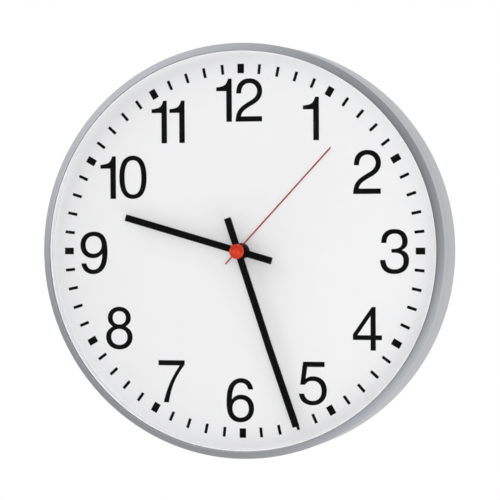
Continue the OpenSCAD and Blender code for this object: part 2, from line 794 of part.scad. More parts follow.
module coil_winding() {
    l = 2 * (coil_half - cheek_t);
    color("chocolate") hung() translate([0, coil_y, coil_z]) rotate([0, 90, 0]) difference() {
        translate([0, 0, -l / 2]) cylinder(r = coil_r - 0.25, h = l, $fn = 64);
        translate([0, 0, -l / 2 - cut]) cylinder(r = 1.8, h = l + 2 * cut, $fn = 48);
    }
}

module stator_plate() {
    top = coil_y + core_w / 2 + stator_rim;
    color("gray") hung() translate([0, 0, stator_z]) difference() {
        union() {
            translate([-stator_half, stator_low, 0])
                cube([2 * stator_half, stator_mid - stator_low, stator_t]);
            for (x = [-stator_half, stator_half - stator_leg]) translate([x, stator_low, 0])
                cube([stator_leg, top - stator_low, stator_t]);
        }
        at(rotor_at, -cut) cylinder(r = rotor_hole_r, h = stator_t + 2 * cut, $fn = 64);
        // Two small notches set the rotor's rest position
        for (a = [45, 225]) at(rotor_at + polar(rotor_hole_r, a), -cut)
            cylinder(r = notch_r, h = stator_t + 2 * cut, $fn = 24);
    }
}

module rotor_magnet() {
    color("darkslategray") hung() at(rotor_at, magnet_z) difference() {
        cylinder(r = magnet_r, h = magnet_t, $fn = 64);
        translate([0, 0, -cut]) cylinder(r = fine_arbor_r, h = magnet_t + 2 * cut, $fn = 32);
    }
}

module rotor_pinion() {
    color("ivory") hung() at(rotor_at, 0) {
        translate([0, 0, level_inter - weld]) teeth(rotor_z, rotor_mod, rotor_turn, wheel_t + 2 * weld);
        translate([0, 0, pivot_z]) cylinder(r = fine_arbor_r, h = fine_arbor_l, $fn = 32);
    }
}

module intermediate_wheel() {
    color("ivory") hung() at(inter_at, 0) {
        translate([0, 0, level_inter])
            wheel(inter_z, rotor_mod, inter_pinion_turn, wheel_t, wheel_hub_r, 5);
        translate([0, 0, level_inter + wheel_t - weld])
            teeth(inter_pinion_z, inter_mod, inter_pinion_turn, level_second - level_inter + 2 * weld);
        translate([0, 0, pivot_z]) cylinder(r = fine_arbor_r, h = fine_arbor_l, $fn = 32);
    }
}

// Second wheel: wheel, pinion and the long arbor that carries the second hand
module second_wheel() {
    color("ivory") hung() {
        translate([0, 0, level_second]) wheel(second_z, inter_mod, 0, wheel_t, wheel_hub_r, 5);
        translate([0, 0, level_third - weld])
            teeth(second_pinion_z, third_mod, 0, level_second - level_third + 2 * weld);
        translate([0, 0, pivot_z]) cylinder(r = arbor_r, h = dial_front + second_h + needle_t - pivot_z);
    }
}

module third_wheel() {
    color("ivory") hung() at(third_at, 0) {
        translate([0, 0, level_third]) wheel(third_z, third_mod, third_turn, wheel_t, wheel_hub_r, 6);
        translate([0, 0, level_centre - weld])
            teeth(third_pinion_z, centre_mod, third_turn, wheel_t + 2 * weld);
        translate([0, 0, pivot_z])
            cylinder(r = fine_arbor_r, h = level_centre + wheel_t + 0.6 - pivot_z, $fn = 32);
    }
}

// Centre wheel: turns once an hour and grips the cannon pinion through the clutch spring
module centre_wheel() {
    hub_r = 4.6;
    color("ivory") hung() difference() {
        union() {
            translate([0, 0, level_centre]) wheel(centre_z, centre_mod, centre_turn, wheel_t, hub_r, 6);
            translate([0, 0, level_centre - 0.3]) cylinder(r = hub_r, h = wheel_t + 0.5);
        }
        translate([0, 0, level_centre - 2 * cut])
            cylinder(r = cannon_r + run_gap, h = wheel_t + 4 * cut);
    }
}

// Clutch spring: a dished washer between the centre wheel and the cannon pinion
module clutch_spring() {
    low = level_centre + wheel_t + 0.2;
    color("goldenrod") hung() rotate_extrude() polygon([
        [cannon_r, level_cannon - 0.25], [2.3, level_cannon - 0.25], [4.1, low], [4.3, low + 0.2],
        [2.4, level_cannon], [cannon_r, level_cannon]]);
}

module cannon_pinion() {
    base = bridge_z + bridge_t + 0.1;
    color("ivory") hung() difference() {
        union() {
            translate([0, 0, level_cannon]) teeth(cannon_z, cannon_mod, 0, motion_t);
            translate([0, 0, base]) cylinder(r = cannon_r, h = dial_front + minute_h + hand_t + 0.3 - base);
        }
        translate([0, 0, base - cut]) cylinder(r = cannon_bore_r, h = dial_front + second_h - base);
    }
}

module reverser_wheel() {
    color("ivory") hung() at(reverser_at, 0) difference() {
        union() {
            translate([0, 0, level_cannon]) wheel(reverser_z, cannon_mod, reverser_turn, motion_t, 2.6, 4);
            translate([0, 0, level_cannon + motion_t - weld])
                teeth(reverser_pinion_z, hour_mod, reverser_turn, level_hour - level_cannon + 3 * weld);
        }
        translate([0, 0, level_cannon - cut])
            cylinder(r = post_r + run_gap, h = level_hour + motion_t - level_cannon + 2 * cut, $fn = 48);
    }
}

// Hour wheel: its pipe runs out through the bush and carries the hour hand
module hour_wheel() {
    color("ivory") hung() difference() {
        union() {
            translate([0, 0, level_hour]) wheel(hour_z, hour_mod, hour_turn, motion_t, 3.4, 6);
            translate([0, 0, level_hour]) cylinder(r = hour_pipe_r, h = hour_pipe_l);
        }
        translate([0, 0, level_hour - cut]) cylinder(r = hour_bore_r, h = hour_pipe_l + 2 * cut);
    }
}

module setting_arbor() {
    color("ivory") hung() at(setting_at, 0) {
        translate([0, 0, level_cannon - weld])
            teeth(setting_z, cannon_mod, setting_turn, motion_t + 2 * weld);
        translate([0, 0, move_back - knob_gap])
            cylinder(r = key_arbor_r, h = level_hour - move_back + knob_gap);
    }
}

// Setting knob: fluted, with a dished face
module setting_knob() {
    color("dimgray") hung() at(setting_at, move_back - knob_gap - knob_t) difference() {
        cylinder(r = knob_r, h = knob_t);
        for (i = [0 : knob_flutes - 1]) rotate([0, 0, i * 360 / knob_flutes])
            translate([knob_r + flute_r - flute_h, 0, -cut])
                cylinder(r = flute_r, h = knob_t + 2 * cut, $fn = 24);
        translate([0, 0, knob_dish - dish_r]) sphere(r = dish_r, $fn = 96);
    }
}

// A flat hand with square ends, turned clockwise from twelve; its end drops past the bend
module bar_hand(angle, reach, tail, w, t, h, bend = 0, drop = 0) {
    rotate([0, 0, -angle]) translate([-w / 2, 0, dial_front + h]) rotate([90, 0, 90])
        linear_extrude(w) polygon([[-tail, 0], [bend, 0], [reach, -drop],
            [reach, t - drop], [bend, t], [-tail, t]]);
}

module hour_hand() {
    color("black") hung() difference() {
        union() {
            bar_hand(hour_angle, hour_reach, hour_tail, hour_w, hand_t, hour_h);
            translate([0, 0, dial_front + hour_h]) cylinder(r = hour_boss_r, h = hand_t);
        }
        translate([0, 0, dial_front + hour_h - cut]) cylinder(r = hour_pipe_r, h = hand_t + 2 * cut);
    }
}

module hour_collet() {
    base = bush_top + 0.8;
    color("black") hung() ring(hour_collet_r, hour_pipe_r, base, dial_front + hour_h - base);
}

module minute_hand() {
    color("black") hung() difference() {
        union() {
            bar_hand(minute_angle, minute_reach, minute_tail, minute_w, hand_t, minute_h,
                bend_from, minute_drop);
            translate([0, 0, dial_front + minute_h]) cylinder(r = minute_boss_r, h = hand_t);
        }
        translate([0, 0, dial_front + minute_h - cut]) cylinder(r = cannon_r, h = hand_t + 2 * cut);
    }
}

module minute_collet() {
    base = dial_front + hour_h + hand_t + 0.6;
    color("black") hung() ring(minute_collet_r, cannon_r, base, dial_front + minute_h - base);
}

module second_hand() {
    color("firebrick") hung() difference() {
        union() {
            bar_hand(second_angle, second_reach, second_tail, second_w, needle_t, second_h);
            translate([0, 0, dial_front + second_h]) cylinder(r = second_boss_r, h = needle_t);
        }
        translate([0, 0, dial_front + second_h - cut]) cylinder(r = arbor_r, h = needle_t + 2 * cut);
    }
}

module second_tube() {
    base = dial_front + minute_h + hand_t + 0.7;
    color("goldenrod") hung() ring(tube_r, arbor_r, base, dial_front + second_h - base);
}

// Red cap: turned, with a shallow cone inside a narrow flat rim
module red_cap() {
    base = dial_front + second_h + needle_t;
    color("tomato") hung() rotate_extrude() polygon(rounded([
        [0, base, 0], [cap_r, base, 0], [cap_r, base + cap_t, 0.3],
        [cap_r - cap_rim, base + cap_t, 0], [0, base + cap_t - cap_dish, 0]]));
}

case_body();
front_ring();
cover_glass();
glass_seal();
spacer_ring();
dial_plate();
minute_track();
hanger_plate();
hanger_rivets();
movement_front_shell();
movement_rear_shell();
gear_bridge();
rubber_washer();
flat_washer();
fixing_nut();
battery_cell();
positive_contact();
negative_contact();
circuit_board();
control_chip();
quartz_crystal();
coil_bobbin();
coil_winding();
coil_core();
stator_plate();
rotor_magnet();
rotor_pinion();
intermediate_wheel();
second_wheel();
third_wheel();
centre_wheel();
clutch_spring();
cannon_pinion();
reverser_wheel();
hour_wheel();
setting_arbor();
setting_knob();
hour_hand();
hour_collet();
minute_hand();
minute_collet();
second_hand();
second_tube();
red_cap();
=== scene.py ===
"""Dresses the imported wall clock: finishes for every part, the printed numerals, the small parts of
the movement that the solids leave out, and the studio with its camera."""

from __future__ import annotations

import logging
import math
import re
from dataclasses import dataclass, replace
from enum import Enum

import bmesh
import bpy
from mathutils import Matrix, Vector


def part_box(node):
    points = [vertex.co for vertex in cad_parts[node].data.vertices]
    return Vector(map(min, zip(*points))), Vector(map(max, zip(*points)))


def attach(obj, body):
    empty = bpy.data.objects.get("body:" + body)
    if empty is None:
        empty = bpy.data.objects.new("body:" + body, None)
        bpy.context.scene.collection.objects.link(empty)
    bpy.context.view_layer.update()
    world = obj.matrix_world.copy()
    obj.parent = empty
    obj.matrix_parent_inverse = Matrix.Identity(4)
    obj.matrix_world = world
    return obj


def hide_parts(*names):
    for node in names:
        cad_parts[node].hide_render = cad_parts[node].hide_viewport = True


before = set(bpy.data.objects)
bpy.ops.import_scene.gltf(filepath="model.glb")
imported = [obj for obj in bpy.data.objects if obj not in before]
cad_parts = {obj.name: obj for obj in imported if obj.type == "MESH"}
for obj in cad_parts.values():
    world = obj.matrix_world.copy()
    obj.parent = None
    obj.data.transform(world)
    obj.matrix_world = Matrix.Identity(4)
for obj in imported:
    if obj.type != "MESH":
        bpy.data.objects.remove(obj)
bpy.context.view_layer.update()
log = logging.getLogger("clock")

MM = 0.001
WELD_MM = 1e-4  # points of a drawn shape that lie closer are one point
WELD_CAD = 1e-6  # the same in metres, for the meshes of the CAD
SHARP = 32.0  # degrees; an edge that turns more stays sharp
NOISE_SPAN = (0.3, 0.7)  # nearly all of a cloud pattern lies between these

Tree, Node, Socket = bpy.types.NodeTree, bpy.types.Node, bpy.types.NodeSocket
Knot = tuple[Vector, Vector, Vector]  # handle in, point, handle out
Box = tuple[float, float, float, float]  # left, right, bottom, top in the plan


# Helpers


def linear(hexcode: str) -> tuple[float, float, float, float]:
    """Turns six hex digits of sRGB into linear red, green and blue, and an alpha of one."""
    parts = [int(hexcode[i : i + 2], 16) / 255 for i in (0, 2, 4)]
    light = [c / 12.92 if c <= 0.04045 else ((c + 0.055) / 1.055) ** 2.4 for c in parts]
    return (light[0], light[1], light[2], 1.0)


def add(
    tree: Tree,
    kind: str,
    props: dict[str, object] | None = None,
    values: dict[str | int, object] | None = None,
    links: dict[str | int, Socket] | None = None,
) -> Node:
    """Adds one node with its settings and links.

    Args:
        tree: the node tree.
        kind: the node's type name after ShaderNode.
        props: properties to set, such as an operation.
        values: input values by socket name or number.
        links: sockets that feed inputs, by socket name or number.

    Returns:
        The new node.
    """
    made = tree.nodes.new(f"ShaderNode{kind}")
    for key, value in (props or {}).items():
        setattr(made, key, value)
    for key, value in (values or {}).items():
        made.inputs[key].default_value = value
    for key, socket in (links or {}).items():
        tree.links.new(socket, made.inputs[key])
    return made


def feed(tree: Tree, slot: Socket, value: object) -> None:
    """Links an input to a socket, or sets it to a plain value."""
    if isinstance(value, Socket):
        tree.links.new(value, slot)
    else:
        slot.default_value = value


def maths(tree: Tree, operation: str, *terms: object, kind: str = "Math") -> Node:
    """Adds a calculation whose terms are numbers, vectors or sockets; kind may be VectorMath."""
    made = add(tree, kind, {"operation": operation})
    for slot, term in zip(made.inputs, terms):
        feed(tree, slot, term)
    return made


def blend(tree: Tree, factor: Socket, low: object, high: object) -> Socket:
    """Returns low where the factor is 0 and high where it is 1; two colours or two numbers."""
    tint = isinstance(low, tuple)
    made = add(tree, "Mix", {"data_type": "RGBA" if tint else "FLOAT"}, links={0: factor})
    for slot, value in zip((6, 7) if tint else (2, 3), (low, high)):
        feed(tree, made.inputs[slot], value)
    return made.outputs[2 if tint else 0]


def ranged(
    tree: Tree, value: Socket, low: float, high: float, to_low: float = 0.0, to_high: float = 1.0
) -> Socket:
    """Maps the range from low to high to another range, held at its ends."""
    return add(
        tree,
        "MapRange",
        values={"From Min": low, "From Max": high, "To Min": to_low, "To Max": to_high},
        links={"Value": value},
    ).outputs[0]


def noise(tree: Tree, place: Socket, size_mm: float, detail: float, rough: float = 0.5) -> Socket:
    """Returns a cloudy pattern in patches of size_mm; rough is how strong its finer ones are."""
    return add(
        tree,
        "TexNoise",
        values={"Scale": 1 / (size_mm * MM), "Detail": detail, "Roughness": rough},
        links={"Vector": place},
    ).outputs[0]


class Body(Enum):
    """The bodies that pieces of this scene ride on."""

    CASE = "case"
    SECOND = "second"
    MINUTE = "minute"
    HOUR = "hour"
    SETTING = "setting"
    ROTOR = "rotor"
    INTERMEDIATE = "intermediate"
    THIRD = "third"
    CENTRE = "centre"
    REVERSER = "reverser"


@dataclass(frozen=True)
class Plan:
    """The clock's own plan: x to the right, y up, z from the wall, all in millimetres."""

    key_y: float = 118.0
    dial_front: float = 35.5

    def stand(self) -> Matrix:
        """Returns the matrix that stands the plan upright in the row frame, in metres."""
        return (
            Matrix.Translation((0, 0, -self.key_y * MM))
            @ Matrix.Rotation(math.radians(90), 4, "X")
            @ Matrix.Scale(MM, 4)
        )

    def point(self, x: float, y: float, z: float) -> Vector:
        """Returns a point of the plan in the row frame, in metres."""
        return self.stand() @ Vector((x, y, z))

    def box(self, node: str) -> tuple[Vector, Vector]:
        """Returns a CAD node's low and high corners in the plan."""
        low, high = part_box(node)
        return (
            Vector((low.x / MM, low.z / MM + self.key_y, -high.y / MM)),
            Vector((high.x / MM, high.z / MM + self.key_y, -low.y / MM)),
        )


PLAN = Plan()


# Finishes


@dataclass(frozen=True)
class Surface:
    """The nodes of one material: its tree, its surface shader and the object coordinates."""

    tree: Tree
    shader: Node
    place: Socket

    def feed(self, name: str, value: object) -> None:
        """Feeds an input of the shader with a socket or a plain value."""
        feed(self.tree, self.shader.inputs[name], value)

    def raise_from(self, height: Socket, depth_mm: float, strength: float) -> None:
        """Turns a height pattern from 0 to 1 into relief, of which strength is the share seen."""
        bump = add(
            self.tree,
            "Bump",
            values={"Strength": strength, "Distance": depth_mm * MM},
            links={"Height": height},
        )
        self.feed("Normal", bump.outputs[0])


@dataclass(frozen=True)
class Finish:
    """A surface finish: the real material, its colours and how its surface was made.

    name is the material's name; slot, the record's slot, is not used. colour and shade are the hex
    colours that it drifts between in patches of drift_mm, and spread is how far the roughness
    strays.
    """

    name: str
    slot: str
    colour: str
    shade: str
    roughness: float = 0.5
    spread: float = 0.05
    metallic: float = 0.0
    drift_mm: float = 40.0
    specular: float = 0.5

    def material(self) -> bpy.types.Material:
        """Returns the finish as a material, made once."""
        known = bpy.data.materials.get(self.name)
        if known:
            return known
        made = bpy.data.materials.new(self.name)
        made.use_nodes = True
        made.diffuse_color = linear(self.colour)
        tree = made.node_tree
        tree.nodes.clear()
        shader = add(
            tree,
            "BsdfPrincipled",
            values={"Metallic": self.metallic, "Specular IOR Level": self.specular},
        )
        surface = Surface(tree, shader, add(tree, "TexCoord").outputs["Object"])
        self.colour_nodes(surface)
        self.surface_nodes(surface)
        add(tree, "OutputMaterial", links={"Surface": self.shown(surface)})
        return made

    def colour_nodes(self, surface: Surface) -> None:
        """Lets the colour drift a little over the surface, as a real coat or moulding does."""
        cloud = noise(surface.tree, surface.place, self.drift_mm, 3.0, 0.55)
        tint = blend(surface.tree, cloud, linear(self.colour), linear(self.shade))
        surface.feed("Base Color", tint)

    def surface_nodes(self, surface: Surface) -> None:
        """Adds the grain; the plain finish has only a soft change of gloss."""
        self.vary_gloss(surface, surface.place, 6.0)

    def shown(self, surface: Surface) -> Socket:
        """Returns what the material shows, which is the shader unless a finish adds to it."""
        return surface.shader.outputs[0]

    def vary_gloss(self, surface: Surface, place: Socket, size_mm: float) -> None:
        """Varies the roughness between its limits, in patches of size_mm read at place."""
        cloud = noise(surface.tree, place, size_mm, 4.0)
        limits = (self.roughness - self.spread, self.roughness + self.spread)
        surface.feed("Roughness", ranged(surface.tree, cloud, *NOISE_SPAN, *limits))


@dataclass(frozen=True)
class Grained(Finish):
    """A cast, moulded, sprayed or rolled surface: an even grain of the given size and depth."""

    grain_mm: float = 0.6
    depth_mm: float = 0.01
    strength: float = 0.5

    def surface_nodes(self, surface: Surface) -> None:
        """Adds the even grain and a soft change of gloss in patches of twelve grains."""
        self.vary_gloss(surface, surface.place, self.grain_mm * 12)
        grain = noise(surface.tree, surface.place, self.grain_mm, 2.0)
        surface.raise_from(grain, self.depth_mm, self.strength)


@dataclass(frozen=True)
class Turned(Finish):
    """A turned or spun surface: fine rings round the hands' axis.

    pitch_mm is the spacing of the rings, brushing how far they draw the highlights out.
    """

    pitch_mm: float = 0.5
    depth_mm: float = 0.004
    strength: float = 0.4
    brushing: float = 0.0

    def surface_nodes(self, surface: Surface) -> None:
        """Adds rings whose height changes with the distance from the axis and the depth."""
        tree, axis = surface.tree, tuple(PLAN.point(0, 0, 0))
        moved = maths(tree, "SUBTRACT", surface.place, axis, kind="VectorMath").outputs[0]
        flat = maths(tree, "MULTIPLY", moved, (1, 0, 1), kind="VectorMath").outputs[0]
        radius = maths(tree, "LENGTH", flat, kind="VectorMath").outputs["Value"]
        depth = add(tree, "SeparateXYZ", links={0: moved}).outputs["Y"]
        lines = add(tree, "CombineXYZ", links={0: radius, 1: depth}).outputs[0]
        self.vary_gloss(surface, lines, self.pitch_mm * 3)
        surface.raise_from(noise(tree, lines, self.pitch_mm, 1.0), self.depth_mm, self.strength)
        if self.brushing:
            grain = add(tree, "Tangent", {"direction_type": "RADIAL", "axis": "Y"})
            surface.feed("Anisotropic", self.brushing)
            surface.feed("Tangent", grain.outputs[0])


@dataclass(frozen=True)
class Wound(Finish):
    """Enamelled wire wound in rows: ridges along x whose crests catch the light.

    pitch_mm is drawn coarser than the real wire of about 0.08 mm; period is the length in which a
    wave pattern of scale one repeats.
    """

    pitch_mm: float = 0.3
    period: float = 0.314

    def surface_nodes(self, surface: Surface) -> None:
        """Adds the turns, a little uneven, and gloss that changes from turn to turn."""
        scale = self.period / (self.pitch_mm * MM)
        turns = add(
            surface.tree,
            "TexWave",
            props={"bands_direction": "X", "wave_profile": "SIN"},
            values={"Scale": scale, "Distortion": 0.6, "Detail": 1.0},
            links={"Vector": surface.place},
        )
        self.vary_gloss(surface, surface.place, self.pitch_mm * 5)
        surface.raise_from(turns.outputs[1], self.pitch_mm / 3, 0.9)


@dataclass(frozen=True)
class Banded(Finish):
    """A cell in its shrunk film: bare steel ends, a dark body and a copper band.

    half_mm is half the cell's length; the other distances along x say where a band starts.
    """

    band: str = "B8763A"
    steel: str = "C9C9C6"
    half_mm: float = 25.0
    film_from: float = -23.6
    band_from: float = 10.5
    film_to: float = 23.2

    def colour_nodes(self, surface: Surface) -> None:
        """Lays the bands along the cell and makes the bare ends metal."""
        tree = surface.tree
        along = add(tree, "SeparateXYZ", links={0: surface.place}).outputs["X"]
        share = ranged(tree, along, -self.half_mm * MM, self.half_mm * MM)
        stops = (
            (-self.half_mm, self.steel, 1.0),
            (self.film_from, self.colour, 0.1),
            (self.band_from, self.band, 0.6),
            (self.film_to, self.steel, 1.0),
        )
        for name in ("Base Color", "Metallic"):
            node = add(tree, "ValToRGB", links={0: share})
            ramp = node.color_ramp
            ramp.interpolation = "CONSTANT"
            ramp.elements.remove(ramp.elements[0])
            ramp.elements[0].position = 0.0
            for at, _, _ in stops[1:]:
                ramp.elements.new((at + self.half_mm) / (2 * self.half_mm))
            for element, (_, hexcode, metal) in zip(ramp.elements, stops):
                grey = (metal, metal, metal, 1)
                element.color = grey if name == "Metallic" else linear(hexcode)
            surface.feed(name, node.outputs[0])


@dataclass(frozen=True)
class Printed(Finish):
    """A circuit board: copper tracks that show as paler, raised lines under the solder mask.

    cell_mm is the tracks' spacing, run the length of a straight run in cells, track_mm the width.
    """

    track: str = "2F8A50"
    cell_mm: float = 1.0
    run: float = 9.0
    track_mm: float = 0.16

    def colour_nodes(self, surface: Surface) -> None:
        """Draws the tracks as straight runs that step sideways, brick by brick."""
        upright = (math.radians(90), 0.0, math.radians(90))
        flat = add(
            surface.tree, "Mapping", values={"Rotation": upright}, links={"Vector": surface.place}
        )
        bricks = add(
            surface.tree,
            "TexBrick",
            props={"offset": 0.37, "squash": 0.4, "squash_frequency": 3},
            values={
                "Scale": 1.0,
                "Mortar Size": self.track_mm * MM,
                "Mortar Smooth": 0.1,
                "Brick Width": self.run * self.cell_mm * MM,
                "Row Height": self.cell_mm * MM,
            },
            links={"Vector": flat.outputs[0]},
        )
        track = bricks.outputs["Fac"]
        tint = blend(surface.tree, track, linear(self.colour), linear(self.track))
        surface.feed("Base Color", tint)
        surface.raise_from(track, 0.04, 0.6)


@dataclass(frozen=True)
class Clear(Finish):
    """Polished glass that lets light and shadow rays straight through.

    haze_mm is the size of the patches of faint haze that wiping leaves, haze how rough they are.
    """

    haze_mm: float = 100 / 3
    haze: float = 0.012

    def colour_nodes(self, surface: Surface) -> None:
        """Sets the one clear colour; glass has no drift."""
        surface.feed("Base Color", linear(self.colour))

    def surface_nodes(self, surface: Surface) -> None:
        """Makes the surface transmit, with its haze."""
        surface.feed("Transmission Weight", 1.0)
        surface.feed("IOR", 1.45)
        cloud = noise(surface.tree, surface.place, self.haze_mm, 3.0)
        surface.feed("Roughness", ranged(surface.tree, cloud, 0.5, 0.9, 0.0, self.haze))

    def shown(self, surface: Surface) -> Socket:
        """Lets lamp light reach the dial, as it does through real glass."""
        path = add(surface.tree, "LightPath").outputs
        either = maths(surface.tree, "MAXIMUM", path["Is Shadow Ray"], path["Is Diffuse Ray"])
        clear = add(surface.tree, "BsdfTransparent", values={"Color": linear("FCFCFC")})
        inputs = {0: either.outputs[0], 1: surface.shader.outputs[0], 2: clear.outputs[0]}
        return add(surface.tree, "MixShader", links=inputs).outputs[0]


class Finishes:
    """Every finish of the clock, named for its material and making."""

    # Spun aluminium, satin and clear anodised: mid grey, fine rings, soft bright lobes
    CASE = Turned(
        "spun_aluminium_satin_anodised", "case_metal", "B5B8BC", "AFB2B7", 0.37, 0.03, 0.85,
        pitch_mm=0.7, depth_mm=0.003, strength=0.25, brushing=0.5,
    )
    # Float glass, slumped and polished: clear, mirrors the room faintly
    GLASS = Clear("slumped_glass_polished", "glass", "FFFFFF", "FFFFFF", 0.0, 0.0)
    # Extruded EPDM rubber: dull grey band inside the ring
    SEAL = Grained("epdm_rubber_extruded", "seal_rubber", "A4A5A8", "9C9DA1", 0.75, grain_mm=0.8)
    # Cured silicone bead in the corner of glass and ring: part of the thin white line there
    BEAD = Grained(
        "silicone_cured_white", "seal_rubber", "FAFBFD", "F5F6F9", 0.3, 0.02, grain_mm=0.8
    )
    # Moulded polystyrene: white, faintly glossy
    SPACER = Grained(
        "polystyrene_moulded_white", "spacer_white", "F0F1F4", "ECEDF0", 0.5, grain_mm=1.0
    )
    # Diamond-turned chamfer inside the ring's lip: a thin line that mirrors the studio
    LIP = Turned(
        "diamond_turned_aluminium", "case_metal", "D8DADD", "D2D4D8", 0.16, 0.03, 1.0,
        pitch_mm=0.3, depth_mm=0.001, strength=0.15, brushing=0.2,
    )
    # Stoved lacquer on aluminium sheet: matt white, nearly even
    DIAL = Grained(
        "stoved_lacquer_matte_white", "dial_white", "F1F1F2", "EFEFF0", 0.62, 0.03,
        grain_mm=1.2, depth_mm=0.002, strength=0.1,
    )
    # Screen printing ink: dense black, slightly raised
    INK = Grained(
        "screen_ink_black", "dial_ink", "050605", "080908", 0.6, specular=0.1, grain_mm=0.5
    )
    # Black lacquer on aluminium strip: matt, hardly any sheen
    HAND = Grained(
        "black_lacquer_matte", "hand_black", "050605", "080908", 0.62, specular=0.08, grain_mm=0.6
    )
    # Red lacquer on thin strip: deep red, which its thinness pales in the picture
    NEEDLE = Grained(
        "red_lacquer_matte", "needle_red", "A30F0C", "9A0E0B", 0.5, grain_mm=0.5, strength=0.2
    )
    # Turned aluminium, dyed red: rings and soft level fans of light
    CAP = Turned(
        "turned_aluminium_red_dyed", "cap_red", "F24628", "EA3E22", 0.3, 0.05, 0.42,
        pitch_mm=0.35, depth_mm=0.003, strength=0.3, brushing=0.95,
    )
    # Steel, turned and chemically blackened: dark with a satin glint
    BLACK_STEEL = Turned(
        "blackened_steel_turned", "black_metal", "1A1B1C", "222324", 0.38, 0.06, 0.6, pitch_mm=0.4
    )
    # Zinc-plated steel sheet: pale, slightly cloudy
    ZINC = Grained(
        "zinc_plated_steel", "zinc_sheet", "B9BCBF", "A9ACB0", 0.34, 0.08, 1.0, 9,
        grain_mm=0.9, strength=0.2,
    )
    # Mild steel rivet: bright drawn metal
    RIVET = Grained(
        "bright_drawn_steel", "rivet_steel", "C4C4C4", "B6B6B6", 0.28, 0.06, 1.0,
        grain_mm=0.5, strength=0.2,
    )
    # ABS moulding: black, with a spark-eroded texture
    HOUSING = Grained(
        "abs_moulded_black_grained", "housing_black", "1B1B1C", "202021", 0.58, 0.06,
        grain_mm=0.45, depth_mm=0.02, strength=0.7,
    )
    # Acetal mouldings: milky white and warm ivory, waxy
    BRIDGE = Grained(
        "acetal_moulded_white", "bridge_white", "E9E7DF", "E3E0D6", 0.42, grain_mm=0.5, strength=0.3
    )
    GEAR = Grained(
        "acetal_moulded_ivory", "gear_ivory", "E4DCC4", "DCD3B8", 0.4, 0.05, 0.0, 8,
        grain_mm=0.4, strength=0.25,
    )
    # Rubber washer: black, dull
    WASHER = Grained("nitrile_rubber_black", "washer_rubber", "151515", "1A1A1A", 0.8, grain_mm=0.7)
    # Shrunk film over the steel cell: glossy dark and copper bands
    JACKET = Banded("shrink_film_over_steel", "cell_jacket", "23272D", "23272D", 0.3)
    # Nickel-plated strip: warm bright metal
    CONTACT = Grained(
        "nickel_plated_strip", "contact_nickel", "C9C6BE", "BDBAB1", 0.25, 0.06, 1.0, 6,
        grain_mm=0.5, strength=0.2,
    )
    # Laminate under green solder mask: tracks show through
    BOARD = Printed("solder_mask_green", "board_green", "1C6438", "1C6438", 0.3, 0.06)
    # Solder, reflowed: bright, soft-edged
    SOLDER = Grained(
        "reflowed_solder", "contact_nickel", "C6C7C8", "B4B5B7", 0.25, 0.06, 1.0, 1, grain_mm=0.3
    )
    # Moulded epoxy chip: matt near-black
    CHIP = Grained("moulded_epoxy_black", "chip_black", "161617", "1C1C1D", 0.6, 0.06, grain_mm=0.3)
    # Drawn metal can: bright, smooth
    CAN = Grained(
        "drawn_can_bright", "crystal_can", "C8C9CB", "BEBFC2", 0.22, 0.05, 1.0,
        grain_mm=0.5, strength=0.2,
    )
    # Natural nylon bobbin: pale straw colour
    BOBBIN = Grained(
        "nylon_moulded_natural", "bobbin_ivory", "DDD6BF", "D5CDB4", 0.45, grain_mm=0.4
    )
    # Enamelled copper wire: warm glints along the turns
    WIRE = Wound("enamelled_copper_wire", "copper_wire", "B0592C", "9A4A22", 0.28, 0.05, 0.85, 1.5)
    # Soft iron, stamped and annealed: dull grey
    IRON = Grained(
        "soft_iron_annealed", "soft_iron", "84868A", "787A7E", 0.45, 0.08, 0.9, 5,
        grain_mm=0.6, strength=0.3,
    )
    # Sintered magnet, plated: dark grey metal
    MAGNET = Grained(
        "sintered_magnet_plated", "magnet_dark", "4A4B4F", "3F4044", 0.4, 0.06, 0.8, grain_mm=0.4
    )
    # Spring bronze, rolled: golden brown
    BRONZE = Grained(
        "spring_bronze_rolled", "clutch_bronze", "B98A4A", "A97C40", 0.3, 0.06, 1.0, 4, grain_mm=0.5
    )
    # Turned brass: yellow, with fine lathe lines
    BRASS = Turned(
        "turned_brass", "tube_brass", "C9A45A", "BD984E", 0.26, 0.05, 1.0,
        pitch_mm=0.25, depth_mm=0.003,
    )
    # The same brass on the cannon pinion
    PIPE = replace(BRASS, slot="cannon_brass")
    # Pale plaster floor of the studio
    FLOOR = Grained("plaster_floor_pale", "", "F4F4F3", "F0F0EF", 0.8, grain_mm=4.0)


# Shapes


def linked(piece: bpy.types.Object) -> bpy.types.Object:
    """Puts an object into the scene and returns it."""
    bpy.context.scene.collection.objects.link(piece)
    return piece


def place(mesh: bpy.types.Mesh, finish: Finish, node: str = "", body: Body = Body.CASE) -> None:
    """Puts a finished mesh into the scene, riding on a body.

    Args:
        mesh: the mesh, in the row frame in metres; its name is the piece's name.
        finish: the finish to show.
        node: the CAD node that it replaces, if any.
        body: the body that it rides on.
    """
    mesh.materials.append(finish.material())
    piece = linked(bpy.data.objects.new(mesh.name, mesh))
    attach(piece, body.value)
    if node:
        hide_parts(node)
    log.info("placed %s, %d faces", mesh.name, len(mesh.polygons))


def finished(
    name: str, shape: bmesh.types.BMesh, stand: Matrix | None = None, sharp: float = SHARP
) -> bpy.types.Mesh:
    """Writes a bmesh to a mesh with outward normals and smooth faces, and frees it.

    Args:
        name: the mesh's name.
        shape: the bmesh.
        stand: the matrix that places it in the row frame, or None when it is there.
        sharp: the angle in degrees above which an edge stays sharp.

    Returns:
        The mesh.
    """
    if stand is not None:
        bmesh.ops.transform(shape, matrix=stand, verts=shape.verts)
    bmesh.ops.recalc_face_normals(shape, faces=shape.faces)
    for face in shape.faces:
        face.smooth = True
    mesh = bpy.data.meshes.new(name)
    shape.to_mesh(mesh)
    shape.free()
    mesh.set_sharp_from_angle(angle=math.radians(sharp))
    return mesh


